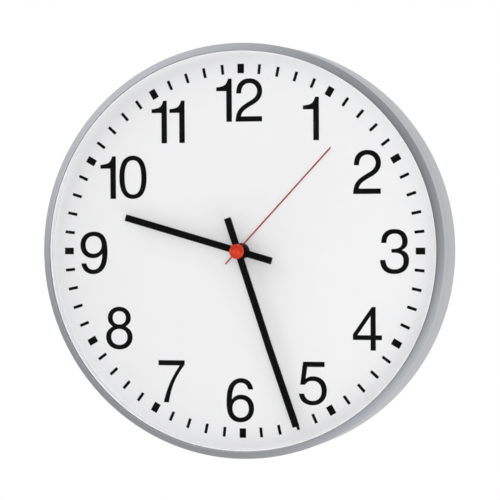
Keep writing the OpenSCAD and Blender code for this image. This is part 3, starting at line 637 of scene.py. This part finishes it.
def outline(
    shape: bmesh.types.BMesh, profile: list[tuple[float, float]]
) -> tuple[list[bmesh.types.BMVert], list[bmesh.types.BMEdge]]:
    """Draws a closed outline of points (radius, height) and returns its vertices and edges."""
    verts = [shape.verts.new((r, 0, z)) for r, z in profile]
    return verts, [shape.edges.new(ends) for ends in zip(verts, verts[1:] + verts[:1])]


def turned(name: str, profile: list[tuple[float, float]], steps: int = 256) -> bpy.types.Mesh:
    """Turns a closed profile round the hands' axis.

    Args:
        name: the mesh's name.
        profile: points (radius, height from the wall) in millimetres, in order.
        steps: steps of the full turn.

    Returns:
        The mesh in the row frame, smooth, with its normals outward.
    """
    shape = bmesh.new()
    verts, edges = outline(shape, profile)
    on_axis = [e for e in edges if all(abs(v.co.x) < WELD_MM for v in e.verts)]
    swept = [e for e in edges if e not in on_axis]
    bmesh.ops.spin(
        shape, geom=verts + swept, cent=(0, 0, 0), axis=(0, 0, 1), angle=2 * math.pi, steps=steps,
        use_merge=True,
    )
    for edge in on_axis:
        if edge.is_valid and not edge.link_faces:
            shape.edges.remove(edge)
    bmesh.ops.remove_doubles(shape, verts=shape.verts, dist=WELD_MM)
    return finished(name, shape, PLAN.stand())


def arc(
    radius: float, middle: float, start: float, end: float, steps: int
) -> list[tuple[float, float]]:
    """Returns points (distance from the axis, height) of a dome round a centre at height middle."""
    spots = [start + (end - start) * i / steps for i in range(steps + 1)]
    return [(r, middle + math.sqrt(radius * radius - r * r)) for r in spots]


def islands(shape: bmesh.types.BMesh) -> list[list[bmesh.types.BMVert]]:
    """Returns the vertices of each separate solid of a mesh."""
    seen: set[bmesh.types.BMVert] = set()
    found = []
    for first in shape.verts:
        if first in seen:
            continue
        seen.add(first)
        group = [first]
        for vert in group:
            others = {edge.other_vert(vert): None for edge in vert.link_edges}
            fresh = [other for other in others if other not in seen]
            seen.update(fresh)
            group += fresh
        found.append(group)
    return found


def welded(mesh: bpy.types.Mesh, reach: float) -> bmesh.types.BMesh:
    """Returns a copy of a mesh whose points within the given reach are welded together."""
    shape = bmesh.new()
    shape.from_mesh(mesh)
    bmesh.ops.remove_doubles(shape, verts=shape.verts, dist=reach)
    return shape


def from_node(node: str) -> bmesh.types.BMesh:
    """Returns a copy of a CAD node's mesh, its loose triangles welded together."""
    return welded(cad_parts[node].data, WELD_CAD)


def from_curve(curve: bpy.types.Curve) -> bmesh.types.BMesh:
    """Returns the surface of a curve and removes the curve's object."""
    holder = linked(bpy.data.objects.new(curve.name, curve))
    bpy.context.view_layer.update()
    seen = holder.evaluated_get(bpy.context.evaluated_depsgraph_get())
    surface = bpy.data.meshes.new_from_object(seen)
    shape = welded(surface, WELD_MM)
    bpy.data.objects.remove(holder)
    bpy.data.meshes.remove(surface)
    return shape


def refined(
    node: str, finish: Finish, bevel_mm: float = 0.0, body: Body = Body.CASE, sharp: float = SHARP
) -> None:
    """Replaces a CAD node by a merged copy with smooth shading and softened edges.

    Args:
        node: the CAD node.
        finish: the finish to show.
        bevel_mm: width of the small bevel on the sharp edges, or 0 for none.
        body: the body that it rides on.
        sharp: the angle in degrees above which an edge is sharp.
    """
    shape = from_node(node)
    bmesh.ops.join_triangles(
        shape, faces=shape.faces, angle_face_threshold=math.radians(0.4),
        angle_shape_threshold=math.pi,
    )
    if bevel_mm:
        limit = math.radians(sharp)
        pairs = [e for e in shape.edges if len(e.link_faces) == 2]
        bmesh.ops.bevel(
            shape, geom=[e for e in pairs if e.calc_face_angle() > limit], offset=bevel_mm * MM,
            segments=2, affect="EDGES", profile=0.5, material=-1, clamp_overlap=True,
        )
    place(finished(f"{node}_look", shape, sharp=sharp), finish, node, body)


# Sub-assemblies


@dataclass
class Case:
    """The case body, the front ring, the glass and the parts that seat it.

    lip_r is the radius of the ring's lip and lip_reach how far its rounded edge goes; the bead and
    the chamfer stand for the white line inside the ring.
    """

    glass_t: float = 2.0
    dome_rise: float = 22.0
    dome_steps: int = 32
    glass_steps: int = 360
    edge_break: float = 0.3
    lip_r: float = 144.6
    lip_reach: float = 0.33
    bead_r: float = 0.55
    bead_sides: int = 10
    chamfer_w: float = 0.6
    chamfer_h: float = 1.1
    face_slope: float = 0.704
    margin: float = 0.01

    def from_lip(self, spot: Vector) -> tuple[Vector, float, float]:
        """Returns a point's way out from the axis, distance outside the lip, and height."""
        axis = PLAN.point(0, 0, 0)
        flat = Vector((spot.x - axis.x, 0.0, spot.z - axis.z))
        return flat.normalized(), flat.length / MM - self.lip_r, -spot.y / MM

    def ring(self) -> None:
        """Smooths the front ring and cuts the bright chamfer on the inside of its lip."""
        shape = from_node("front_ring")
        top = PLAN.box("front_ring")[1].z
        axis = PLAN.point(0, 0, 0)
        spots = [(vert, *self.from_lip(vert.co)) for vert in shape.verts]
        edge = [s for s in spots if s[2] < self.lip_reach and s[3] > top - self.lip_reach]
        reach = max(along for _, _, along, _ in edge)
        for vert, out, along, _ in edge:
            share = max(along, 0.0) / reach
            radius = self.lip_r + share * self.chamfer_w
            height = top - self.chamfer_h * (1 - share) - self.face_slope * self.chamfer_w * share
            vert.co = axis + out * radius * MM
            vert.co.y = -height * MM
        mesh = finished("front_ring_look", shape)
        place(mesh, Finishes.CASE, "front_ring")
        mesh.materials.append(Finishes.LIP.material())
        for face in mesh.polygons:
            _, along, height = self.from_lip(face.center)
            if self.margin < along < self.chamfer_w and height > top - self.chamfer_h:
                face.material_index = 1

    def glass(self) -> None:
        """Turns the domed glass with its ground edge, and the bead that seals it."""
        low, high = PLAN.box("cover_glass")
        outer_r = (high.x - low.x) / 2
        inner = (outer_r**2 + self.dome_rise**2) / (2 * self.dome_rise)
        middle = low.z + self.dome_rise - inner
        rim = outer_r - self.edge_break
        under = arc(inner, middle, 0.0, rim, self.dome_steps)
        over = arc(inner + self.glass_t, middle, rim, 0.0, self.dome_steps)
        edge = [(outer_r, under[-1][1] + self.edge_break), (outer_r, over[0][1] - self.edge_break)]
        mesh = turned("cover_glass_look", under + edge + over, self.glass_steps)
        place(mesh, Finishes.GLASS, "cover_glass")
        ring_r = self.lip_r - self.bead_r
        foot = arc(inner + self.glass_t, middle, ring_r, ring_r, 1)[0][1]
        turns = [2 * math.pi * side / self.bead_sides for side in range(self.bead_sides)]
        bead = [
            (ring_r + self.bead_r * math.cos(turn), foot + self.bead_r * math.sin(turn))
            for turn in turns
        ]
        place(turned("sealing_bead", bead), Finishes.BEAD)

    def build(self) -> None:
        """Builds the glass and smooths the metal."""
        refined("case_body", Finishes.CASE)
        self.ring()
        refined("glass_seal", Finishes.SEAL)
        refined("spacer_ring", Finishes.SPACER, 0.2)
        self.glass()


@dataclass(frozen=True)
class Glyph:
    """One numeral: closed outlines in type units, as moves M, lines L and curves C.

    A letter holds for all points that follow it; a curve has two handles and its end.
    """

    outlines: tuple[str, ...]

    def splines(self) -> list[list[Knot]]:
        """Returns, for each outline, its knots as (handle in, point, handle out)."""
        made = []
        for text in self.outlines:
            knots: list[list[Vector]] = []
            for kind, run in re.findall("([MLC])([^MLC]+)", text):
                n = [float(v) for v in run.split()]
                spots = [Vector(n[i : i + 2]) for i in range(0, len(n), 2)]
                size = 3 if kind == "C" else 1
                for at in range(0, len(spots), size):
                    *handles, end = spots[at : at + size]
                    if handles:
                        knots[-1][2] = handles[0]
                    knots.append([handles[-1] if handles else end, end, end])
            if len(knots) > 1 and (knots[0][1] - knots[-1][1]).length < 1e-6:
                knots[0][0] = knots[-1][0]
                knots.pop()
            made.append([tuple(k) for k in knots])
        return made


def cut_out(
    name: str, splines: list[list[Knot]], box: Box, foot: float, thick: float, mirror: bool = False
) -> bpy.types.Mesh:
    """Makes a thin flat shape from closed outlines.

    Args:
        name: the mesh's name.
        splines: the outlines' knots.
        box: where the shape lies.
        foot: the height of its underside from the wall.
        thick: its thickness.
        mirror: turns it to be read from the back.

    Returns:
        The closed mesh in the row frame.
    """
    curve = bpy.data.curves.new(name, "CURVE")
    curve.dimensions, curve.fill_mode, curve.resolution_u = "2D", "BOTH", 8
    curve.extrude = thick / 2
    points = [point for knots in splines for _, point, _ in knots]
    low = Vector((min(q.x for q in points), min(q.y for q in points)))
    high = Vector((max(q.x for q in points), max(q.y for q in points)))
    left, right, bottom, top = box
    grow_x, grow_y = (right - left) / (high.x - low.x), (top - bottom) / (high.y - low.y)
    start, way = (right, -grow_x) if mirror else (left, grow_x)
    for knots in splines:
        spline = curve.splines.new("BEZIER")
        spline.bezier_points.add(len(knots) - 1)
        spline.use_cyclic_u = True
        for made, knot in zip(spline.bezier_points, knots):
            made.handle_left_type = made.handle_right_type = "FREE"
            made.handle_left, made.co, made.handle_right = [
                (start + (v.x - low.x) * way, bottom + (v.y - low.y) * grow_y, 0.0) for v in knot
            ]
    stand = PLAN.stand() @ Matrix.Translation((0, 0, foot + thick / 2))
    return finished(name, from_curve(curve), stand)


SIX = (
    "M 498 524 L 410 524 C 396 593 352 632 289 632 191 632 137 535 135 358 173 409 228 436 297 "
    "436 422 436 511 345 511 213 511 75 413 -19 276 -19 204 -19 142 6 102 58 60 112 43 195 43 303 "
    "43 440 57 530 99 601 143 670 216 709 296 709 407 709 481 639 498 524",
    "M 286 359 C 367 359 421 302 421 208 421 120 363 58 280 58 200 58 143 120 143 213 143 300 202 "
    "359 286 359",
)
GLYPHS = {
    "0": Glyph((
        "M 275 709 C 209 709 149 680 112 631 66 568 43 471 43 337 43 102 122 -19 275 -19 426 -19 "
        "508 102 508 334 508 470 485 567 438 631 402 680 342 709 275 709",
        "M 275 632 C 370 632 418 536 418 338 418 148 372 55 274 55 178 55 132 152 132 341 132 536 "
        "180 632 275 632",
    )),
    "1": Glyph((
        "M 259 505 L 259 0 347 0 347 709 289 709 C 258 600 238 585 102 568 L 102 505 259 505",
    )),
    "2": Glyph((
        "M 506 87 L 133 87 C 142 145 174 182 261 233 L 361 287 C 460 341 511 414 511 501 511 560 "
        "487 615 445 653 403 691 351 709 284 709 194 709 127 677 88 617 63 579 52 535 50 463 L "
        "138 463 C 141 511 147 540 159 563 182 606 228 632 281 632 361 632 421 575 421 499 421 "
        "443 388 395 325 359 L 233 307 C 85 223 42 156 34 0 L 506 0 506 87",
    )),
    "3": Glyph((
        "M 221 325 L 269 325 C 366 325 416 281 416 196 416 109 363 57 272 57 176 57 129 105 123 "
        "208 L 35 208 C 39 151 49 114 66 82 103 14 171 -19 268 -19 413 -19 506 69 506 204 506 292 "
        "472 341 389 369 453 394 485 442 485 507 485 632 406 709 273 709 132 709 57 632 54 483 L "
        "142 483 C 143 525 147 549 158 570 178 610 222 634 277 634 355 634 395 587 395 505 395 "
        "451 375 419 333 402 307 391 273 387 221 386 L 221 325",
    )),
    "4": Glyph((
        "M 327 170 L 327 0 415 0 415 170 520 170 520 249 415 249 415 709 350 709 28 263 28 170 "
        "327 170",
        "M 327 249 L 105 249 327 559 327 249",
    )),
    "5": Glyph((
        "M 476 709 L 110 709 57 323 138 323 C 179 372 213 389 268 389 363 389 423 324 423 219 423 "
        "117 364 55 268 55 191 55 144 94 123 174 L 35 174 C 47 116 57 88 78 60 118 6 190 -19 270 "
        "-19 413 -19 513 81 513 231 513 371 420 467 283 467 233 467 193 454 152 424 L 180 622 476 "
        "622 476 709",
    )),
    "6": Glyph(SIX),
    "7": Glyph((
        "M 520 709 L 46 709 46 622 429 622 C 280 416 191 232 138 0 L 232 0 C 273 255 347 427 520 "
        "636 L 520 709",
    )),
    "8": Glyph((
        "M 391 373 C 468 332 512 278 512 197 512 70 416 -19 275 -19 134 -19 38 70 38 197 38 278 "
        "82 332 158 373 97 412 70 457 70 516 70 627 155 709 276 709 397 709 482 627 482 516 482 "
        "457 455 412 391 373",
        "M 276 632 C 346 632 393 587 393 516 393 450 347 406 276 406 205 406 159 450 159 516 159 "
        "587 205 632 276 632",
        "M 276 331 C 361 331 420 275 420 197 420 115 362 59 274 59 190 59 130 115 130 197 130 275 "
        "188 331 276 331",
    )),
    "9": Glyph(SIX),
    "+": Glyph((
        "M 0 40 L 40 40 40 0 60 0 60 40 100 40 100 60 60 60 60 100 40 100 40 60 0 60 0 40",
    )),
    "-": Glyph((
        "M 0 0 L 100 0 100 20 0 20 0 0",
    )),
    "turn": Glyph((
        "M 100 0 C 100 27 89 52 71 71 52 89 27 100 0 100 L 0 84 C 22 84 44 75 59 59 75 44 84 22 "
        "84 0 L 68 0 92 -34 116 0 100 0",
    )),
}


@dataclass
class Dial:
    """The white dial plate, its minute track and the printed numerals.

    ink_t is the ink's thickness and ink_gap keeps it off the dial; spread is how far ink spreads;
    boxes holds each digit's piece, glyph and box on the dial.
    """

    ink_t: float = 0.06
    ink_gap: float = 0.005
    spread: float = 0.13
    boxes: tuple[tuple[str, str, Box], ...] = (
        ("twelve_a", "1", (-18.50, -6.84, 93.24, 124.33)),
        ("twelve_b", "2", (-4.18, 15.94, 93.24, 124.28)),
        ("one", "1", (45.99, 57.88, 79.27, 110.36)),
        ("two", "2", (82.63, 103.14, 40.67, 72.01)),
        ("three", "3", (102.05, 123.23, -16.32, 15.69)),
        ("four", "4", (81.95, 103.29, -70.93, -39.81)),
        ("five", "5", (41.95, 62.71, -110.62, -79.38)),
        ("six", "6", (-12.12, 8.55, -123.74, -91.77)),
        ("seven", "7", (-63.53, -43.59, -110.11, -79.40)),
        ("eight", "8", (-103.56, -83.19, -71.99, -40.67)),
        ("nine", "9", (-122.96, -102.06, -16.99, 14.22)),
        ("ten_a", "1", (-107.06, -95.23, 38.07, 69.14)),
        ("ten_b", "0", (-92.56, -71.69, 37.97, 69.52)),
        ("eleven_a", "1", (-67.59, -55.92, 78.27, 109.17)),
        ("eleven_b", "1", (-53.99, -42.43, 78.35, 109.06)),
    )

    def marks(self) -> None:
        """Prints the minute track's marks, each spread a little as screen ink is."""
        shape = from_node("minute_track")
        middle = PLAN.point(0, 0, 0)
        for island in islands(shape):
            centre = sum((v.co for v in island), Vector()) / len(island)
            out = centre - middle
            out.y = 0.0
            out.normalize()
            across = Vector((-out.z, 0.0, out.x))
            for vert in island:
                for way in (out, across):
                    side = (vert.co - centre).dot(way)
                    vert.co += way * math.copysign(self.spread * MM, side)
        mesh = finished("minute_marks", shape)
        place(mesh, Finishes.INK, "minute_track")

    def build(self) -> None:
        """Dresses the dial and prints the numerals."""
        refined("dial_plate", Finishes.DIAL, 0.1)
        self.marks()
        foot = PLAN.dial_front + self.ink_gap
        for name, digit, edges in self.boxes:
            splines = GLYPHS[digit].splines()
            if digit == "9":
                splines = [[tuple(-v for v in knot) for knot in s] for s in splines]
            mesh = cut_out(f"numeral_{name}", splines, edges, foot, self.ink_t)
            place(mesh, Finishes.INK)


@dataclass
class Hands:
    """The three hands, their collets and the cap."""

    edge: float = 0.12

    def build(self) -> None:
        """Softens the hands' edges and dresses them."""
        for node in ("hour_hand", "hour_collet"):
            refined(node, Finishes.HAND, self.edge, Body.HOUR)
        for node in ("minute_hand", "minute_collet"):
            refined(node, Finishes.HAND, self.edge, Body.MINUTE)
        refined("second_hand", Finishes.NEEDLE, self.edge / 2, Body.SECOND)
        refined("second_tube", Finishes.BRASS, self.edge / 2, Body.SECOND)
        refined("red_cap", Finishes.CAP, 0.0, Body.SECOND, 50)


@dataclass
class Fixing:
    """What clamps the movement to the dial: washers, nut and the bush's thread.

    The thread's ridge is sunk into the bush and has a flat crest; flank is half its foot's share
    of the pitch, start the height where it begins.
    """

    bush_r: float = 4.0
    sunk: float = 0.1
    ridge: float = 0.25
    crest: float = 0.05
    flank: float = 0.35
    pitch: float = 0.7
    turns: float = 1.4
    start: float = 38.5
    steps_per_turn: int = 64

    def thread(self) -> None:
        """Winds the thread's ridge round the part of the bush that stands out of the nut."""
        shape = bmesh.new()
        half = self.pitch * self.flank
        middle = self.start + half
        inner, outer = self.bush_r - self.sunk, self.bush_r + self.ridge
        profile = [
            (inner, middle - half),
            (inner, middle + half),
            (outer, middle + self.crest),
            (outer, middle - self.crest),
        ]
        verts, edges = outline(shape, profile)
        steps = int(self.steps_per_turn * self.turns)
        bmesh.ops.spin(
            shape, geom=verts + edges, cent=(0, 0, 0), axis=(0, 0, 1), steps=steps,
            dvec=(0, 0, self.pitch * self.turns / steps), angle=2 * math.pi * self.turns,
        )
        bmesh.ops.holes_fill(shape, edges=[e for e in shape.edges if e.is_boundary], sides=4)
        mesh = finished("bush_thread", shape, PLAN.stand())
        place(mesh, Finishes.HOUSING)

    def build(self) -> None:
        """Softens the nut and washers and adds the thread."""
        refined("fixing_nut", Finishes.BLACK_STEEL, 0.2, sharp=25)
        refined("flat_washer", Finishes.BLACK_STEEL, 0.12)
        refined("rubber_washer", Finishes.WASHER, 0.3)
        self.thread()


@dataclass
class Movement:
    """The movement: housing, train, motor, board, contacts and cell.

    signs holds, for each moulded sign, its name, its glyph, whether its height counts from the
    housing's foot, and its box; it stands out by sign_t. A joint of solder is a dome of radius
    joint_r, flattened by joint_h; pin is how far apart the chip's pins are, how far in the first
    one lies and how far they reach; pad is how far apart and how far in the board's pads lie.
    """

    fixed: tuple[tuple[str, Finish, float], ...] = (
        ("movement_front_shell", Finishes.HOUSING, 0.25),
        ("movement_rear_shell", Finishes.HOUSING, 0.25),
        ("gear_bridge", Finishes.BRIDGE, 0.15),
        ("battery_cell", Finishes.JACKET, 0.0),
        ("positive_contact", Finishes.CONTACT, 0.08),
        ("negative_contact", Finishes.CONTACT, 0.08),
        ("circuit_board", Finishes.BOARD, 0.08),
        ("control_chip", Finishes.CHIP, 0.1),
        ("quartz_crystal", Finishes.CAN, 0.1),
        ("coil_bobbin", Finishes.BOBBIN, 0.12),
        ("coil_winding", Finishes.WIRE, 0.1),
        ("coil_core", Finishes.IRON, 0.1),
        ("stator_plate", Finishes.IRON, 0.08),
    )
    moving: tuple[tuple[str, Finish, Body], ...] = (
        ("rotor_magnet", Finishes.MAGNET, Body.ROTOR),
        ("rotor_pinion", Finishes.GEAR, Body.ROTOR),
        ("intermediate_wheel", Finishes.GEAR, Body.INTERMEDIATE),
        ("second_wheel", Finishes.GEAR, Body.SECOND),
        ("third_wheel", Finishes.GEAR, Body.THIRD),
        ("centre_wheel", Finishes.GEAR, Body.CENTRE),
        ("clutch_spring", Finishes.BRONZE, Body.MINUTE),
        ("cannon_pinion", Finishes.PIPE, Body.MINUTE),
        ("reverser_wheel", Finishes.GEAR, Body.REVERSER),
        ("hour_wheel", Finishes.GEAR, Body.HOUR),
        ("setting_arbor", Finishes.GEAR, Body.SETTING),
    )
    signs: tuple[tuple[str, str, bool, Box], ...] = (
        ("plus", "+", True, (19.0, 22.0, 16.9, 19.9)),
        ("minus", "-", True, (-22.0, -19.0, 18.1, 18.7)),
        ("turn", "turn", False, (13.2, 17.2, 14.6, 19.2)),
    )
    sign_t: float = 0.25
    sunk: float = 0.02
    joint_r: float = 0.42
    joint_h: float = 0.6
    pin: tuple[float, float, float] = (1.4, 0.75, 0.3)
    pad: tuple[float, float] = (1.8, 1.6)
    lead_r: float = 0.12
    lead_gap: float = 1.6

    def marks(self) -> None:
        """Raises the moulded signs beside the battery bay and round the setting knob."""
        low, _ = PLAN.box("movement_rear_shell")
        for name, key, from_foot, (left, right, bottom, top) in self.signs:
            foot = low.y if from_foot else 0.0
            mesh = cut_out(
                f"mark_{name}", GLYPHS[key].splines(), (left, right, foot + bottom, foot + top),
                low.z - self.sign_t, self.sign_t + self.sunk, mirror=key == "turn",
            )
            place(mesh, Finishes.HOUSING)

    def solder(self) -> None:
        """Sets a soft-edged joint of solder at every lead that reaches the board."""
        chip_low, chip_high = PLAN.box("control_chip")
        board = PLAN.box("circuit_board")[1]
        apart, inset, reach = self.pin
        rows = (chip_low.y - reach, chip_high.y + reach)
        spots = [(chip_low.x + inset + i * apart, y) for i in range(4) for y in rows]
        apart, inset = self.pad
        spots += [(board.x - inset, chip_low.y + i * apart) for i in range(3)]
        shape, flat = bmesh.new(), Matrix.Diagonal((1, 1, self.joint_h, 1))
        for x, y in spots:
            bmesh.ops.create_uvsphere(
                shape, u_segments=12, v_segments=8, radius=self.joint_r,
                matrix=Matrix.Translation((x, y, board.z)) @ flat,
            )
        mesh = finished("solder_joints", shape, PLAN.stand())
        place(mesh, Finishes.SOLDER)

    def leads(self) -> None:
        """Leads the coil's two ends of wire from the bobbin's cheek down to the board."""
        bobbin = PLAN.box("coil_bobbin")[0]
        board = PLAN.box("circuit_board")[1]
        curve = bpy.data.curves.new("coil_leads", "CURVE")
        curve.dimensions, curve.bevel_depth, curve.resolution_u = "3D", self.lead_r, 6
        curve.bevel_resolution, curve.use_fill_caps = 3, True
        for shift in (0.0, self.lead_gap):
            pad = board.x - self.pad[1] - shift
            # Off the cheek, the bend, over the pad, on the pad
            spots = (
                (bobbin.x - 0.25, 23.0 - shift, board.z + 2.4),
                (bobbin.x - 1.6, 19.0 - shift, board.z + 1.0),
                (pad, 12.0, board.z + 0.5),
                (pad, 9.4, board.z + 0.2),
            )
            spline = curve.splines.new("BEZIER")
            spline.bezier_points.add(len(spots) - 1)
            for made, spot in zip(spline.bezier_points, spots):
                made.co = spot
                made.handle_left_type = made.handle_right_type = "AUTO"
        mesh = finished("coil_leads", from_curve(curve), PLAN.stand(), 60)
        place(mesh, Finishes.WIRE)

    def build(self) -> None:
        """Softens the fixed parts, smooths the train and adds the small parts."""
        for node, finish, bevel in self.fixed:
            refined(node, finish, bevel)
        refined("setting_knob", Finishes.HOUSING, 0.15, Body.SETTING)
        for node, finish, body in self.moving:
            refined(node, finish, 0.0, body)
        self.marks()
        self.solder()
        self.leads()


@dataclass
class Hanger:
    """The keyhole plate and its rivets."""

    def build(self) -> None:
        """Softens the plate's edges and rounds the rivets."""
        refined("hanger_plate", Finishes.ZINC, 0.18)
        refined("hanger_rivets", Finishes.RIVET, 0.1)


@dataclass(frozen=True)
class Lamp:
    """A soft square lamp: metres to the right of the dial, above it and in front of it."""

    name: str
    right: float
    up: float
    front: float
    size: float
    watts: float

    def hang(self) -> None:
        """Hangs the lamp so that it faces the dial; neither mirrors nor the camera see it."""
        data = bpy.data.lights.new(self.name, "AREA")
        data.shape, data.size, data.energy = "SQUARE", self.size, self.watts
        lamp = linked(bpy.data.objects.new(self.name, data))
        middle = PLAN.point(0, 0, PLAN.dial_front)
        spot = middle + Vector((self.right, -self.front, self.up))
        turn = (spot - middle).to_track_quat("Z", "Y").to_matrix().to_4x4()
        lamp.matrix_world = Matrix.Translation(spot) @ turn
        lamp.visible_glossy = lamp.visible_transmission = lamp.visible_camera = False


@dataclass
class Studio:
    """White surroundings, four soft lamps, a pale floor and the camera.

    The camera's numbers come from a fit to the photo's minute marks and case outline. Diffuse light
    comes from a room of level room. Mirrors see their own surroundings: dark in front, two bright
    lobes aslant, and a level behind; what lies under the glass also sees a small soft box. Each way
    is a direction from the clock, each span the range over which one part passes into the next.
    """

    azimuth: float = 15.625
    elevation: float = 1.21
    roll: float = -0.33
    distance_mm: float = 1945.3
    lens_mm: float = 194.06
    sensor_mm: float = 36.0
    clip_m: tuple[float, float] = (0.05, 50.0)
    aim_x: float = 5.97
    aim_y: float = 0.74
    room: float = 0.6
    mirror_front: float = 0.04
    mirror_low: float = 0.54
    mirror_high: float = 1.2
    mirror_behind: float = 0.9
    front_span: tuple[float, float] = (-0.66, -0.56)
    rear_span: tuple[float, float] = (0.5, 0.9)
    lobe_way: tuple[float, float, float] = (-0.707, 0.0, 0.707)
    lobe_span: tuple[float, float] = (0.55, 0.95)
    box_way: tuple[float, float, float] = (-0.17, -0.87, 0.46)
    box_span: tuple[float, float] = (0.99, 0.998)
    box_level: float = 60.0
    glass_passes: float = 2.5
    floor_half: float = 0.3
    floor_z: float = -0.62
    lamps: tuple[Lamp, ...] = (
        Lamp("lamp_front", 0.53, 0.04, 1.9, 0.6, 14.5),
        Lamp("lamp_upper_left", -1.2, 1.2, 0.9, 1.2, 8.5),
        Lamp("lamp_lower_right", 1.1, -1.1, 0.9, 1.2, 8.0),
        Lamp("lamp_back", 0.4, 0.5, -1.9, 1.3, 15.0),
    )

    def camera(self) -> None:
        """Places the camera."""
        az, el = math.radians(self.azimuth), math.radians(self.elevation)
        back = Vector((math.sin(az) * math.cos(el), -math.cos(az) * math.cos(el), math.sin(el)))
        aim = PLAN.point(self.aim_x, self.aim_y, PLAN.dial_front)
        data = bpy.data.cameras.new("camera")
        data.lens, data.sensor_width = self.lens_mm, self.sensor_mm
        data.clip_start, data.clip_end = self.clip_m
        camera = linked(bpy.data.objects.new("camera", data))
        camera.matrix_world = (
            Matrix.Translation(aim + back * self.distance_mm * MM)
            @ back.to_track_quat("Z", "Y").to_matrix().to_4x4()
            @ Matrix.Rotation(math.radians(self.roll), 4, "Z")
        )
        bpy.context.scene.camera = camera

    def surroundings(self) -> None:
        """Makes the world: white for the camera, the room for diffuse light, and the mirrors'."""
        world = bpy.data.worlds.new("studio")
        bpy.context.scene.world = world
        world.use_nodes = True
        tree = world.node_tree
        tree.nodes.clear()
        way = add(tree, "TexCoord").outputs["Generated"]
        depth = add(tree, "SeparateXYZ", links={0: way}).outputs["Y"]
        slant = maths(tree, "DOT_PRODUCT", way, self.lobe_way, kind="VectorMath").outputs[1]
        size = maths(tree, "ABSOLUTE", slant).outputs[0]
        lobes = blend(tree, ranged(tree, size, *self.lobe_span), self.mirror_low, self.mirror_high)
        ahead = blend(tree, ranged(tree, depth, *self.front_span), self.mirror_front, lobes)
        outside = blend(tree, ranged(tree, depth, *self.rear_span), ahead, self.mirror_behind)
        near = maths(tree, "DOT_PRODUCT", way, self.box_way, kind="VectorMath").outputs[1]
        inside = blend(tree, ranged(tree, near, *self.box_span), outside, self.box_level)
        path = add(tree, "LightPath").outputs
        passes = maths(tree, "GREATER_THAN", path["Transmission Depth"], self.glass_passes)
        mirrored = blend(tree, passes.outputs[0], outside, inside)
        through = maths(tree, "MAXIMUM", path["Is Glossy Ray"], path["Is Transmission Ray"])
        indirect = blend(tree, through.outputs[0], self.room, mirrored)
        level = blend(tree, path["Is Camera Ray"], indirect, 1.0)
        glow = add(tree, "Background", values={"Color": (1, 1, 1, 1)}, links={"Strength": level})
        add(tree, "OutputWorld", links={"Surface": glow.outputs[0]})

    def floor(self) -> None:
        """Lays the plain pale floor below the clock."""
        shape = bmesh.new()
        bmesh.ops.create_grid(shape, x_segments=1, y_segments=1, size=self.floor_half)
        mesh = bpy.data.meshes.new("floor")
        shape.to_mesh(mesh)
        shape.free()
        mesh.transform(Matrix.Translation((0, 0, self.floor_z)))
        mesh.materials.append(Finishes.FLOOR.material())
        floor = linked(bpy.data.objects.new("floor", mesh))
        floor.visible_glossy = False

    def build(self) -> None:
        """Sets up the whole studio."""
        self.camera()
        self.surroundings()
        self.floor()
        for lamp in self.lamps:
            lamp.hang()
        bpy.context.scene.view_settings.view_transform = "Standard"


def main() -> None:
    """Builds every sub-assembly in order."""
    logging.basicConfig(level=logging.INFO, format="%(message)s")
    for part in (Case(), Dial(), Hands(), Fixing(), Movement(), Hanger(), Studio()):
        part.build()
        log.info("built %s", type(part).__name__)


if __name__ == "__main__":
    main()
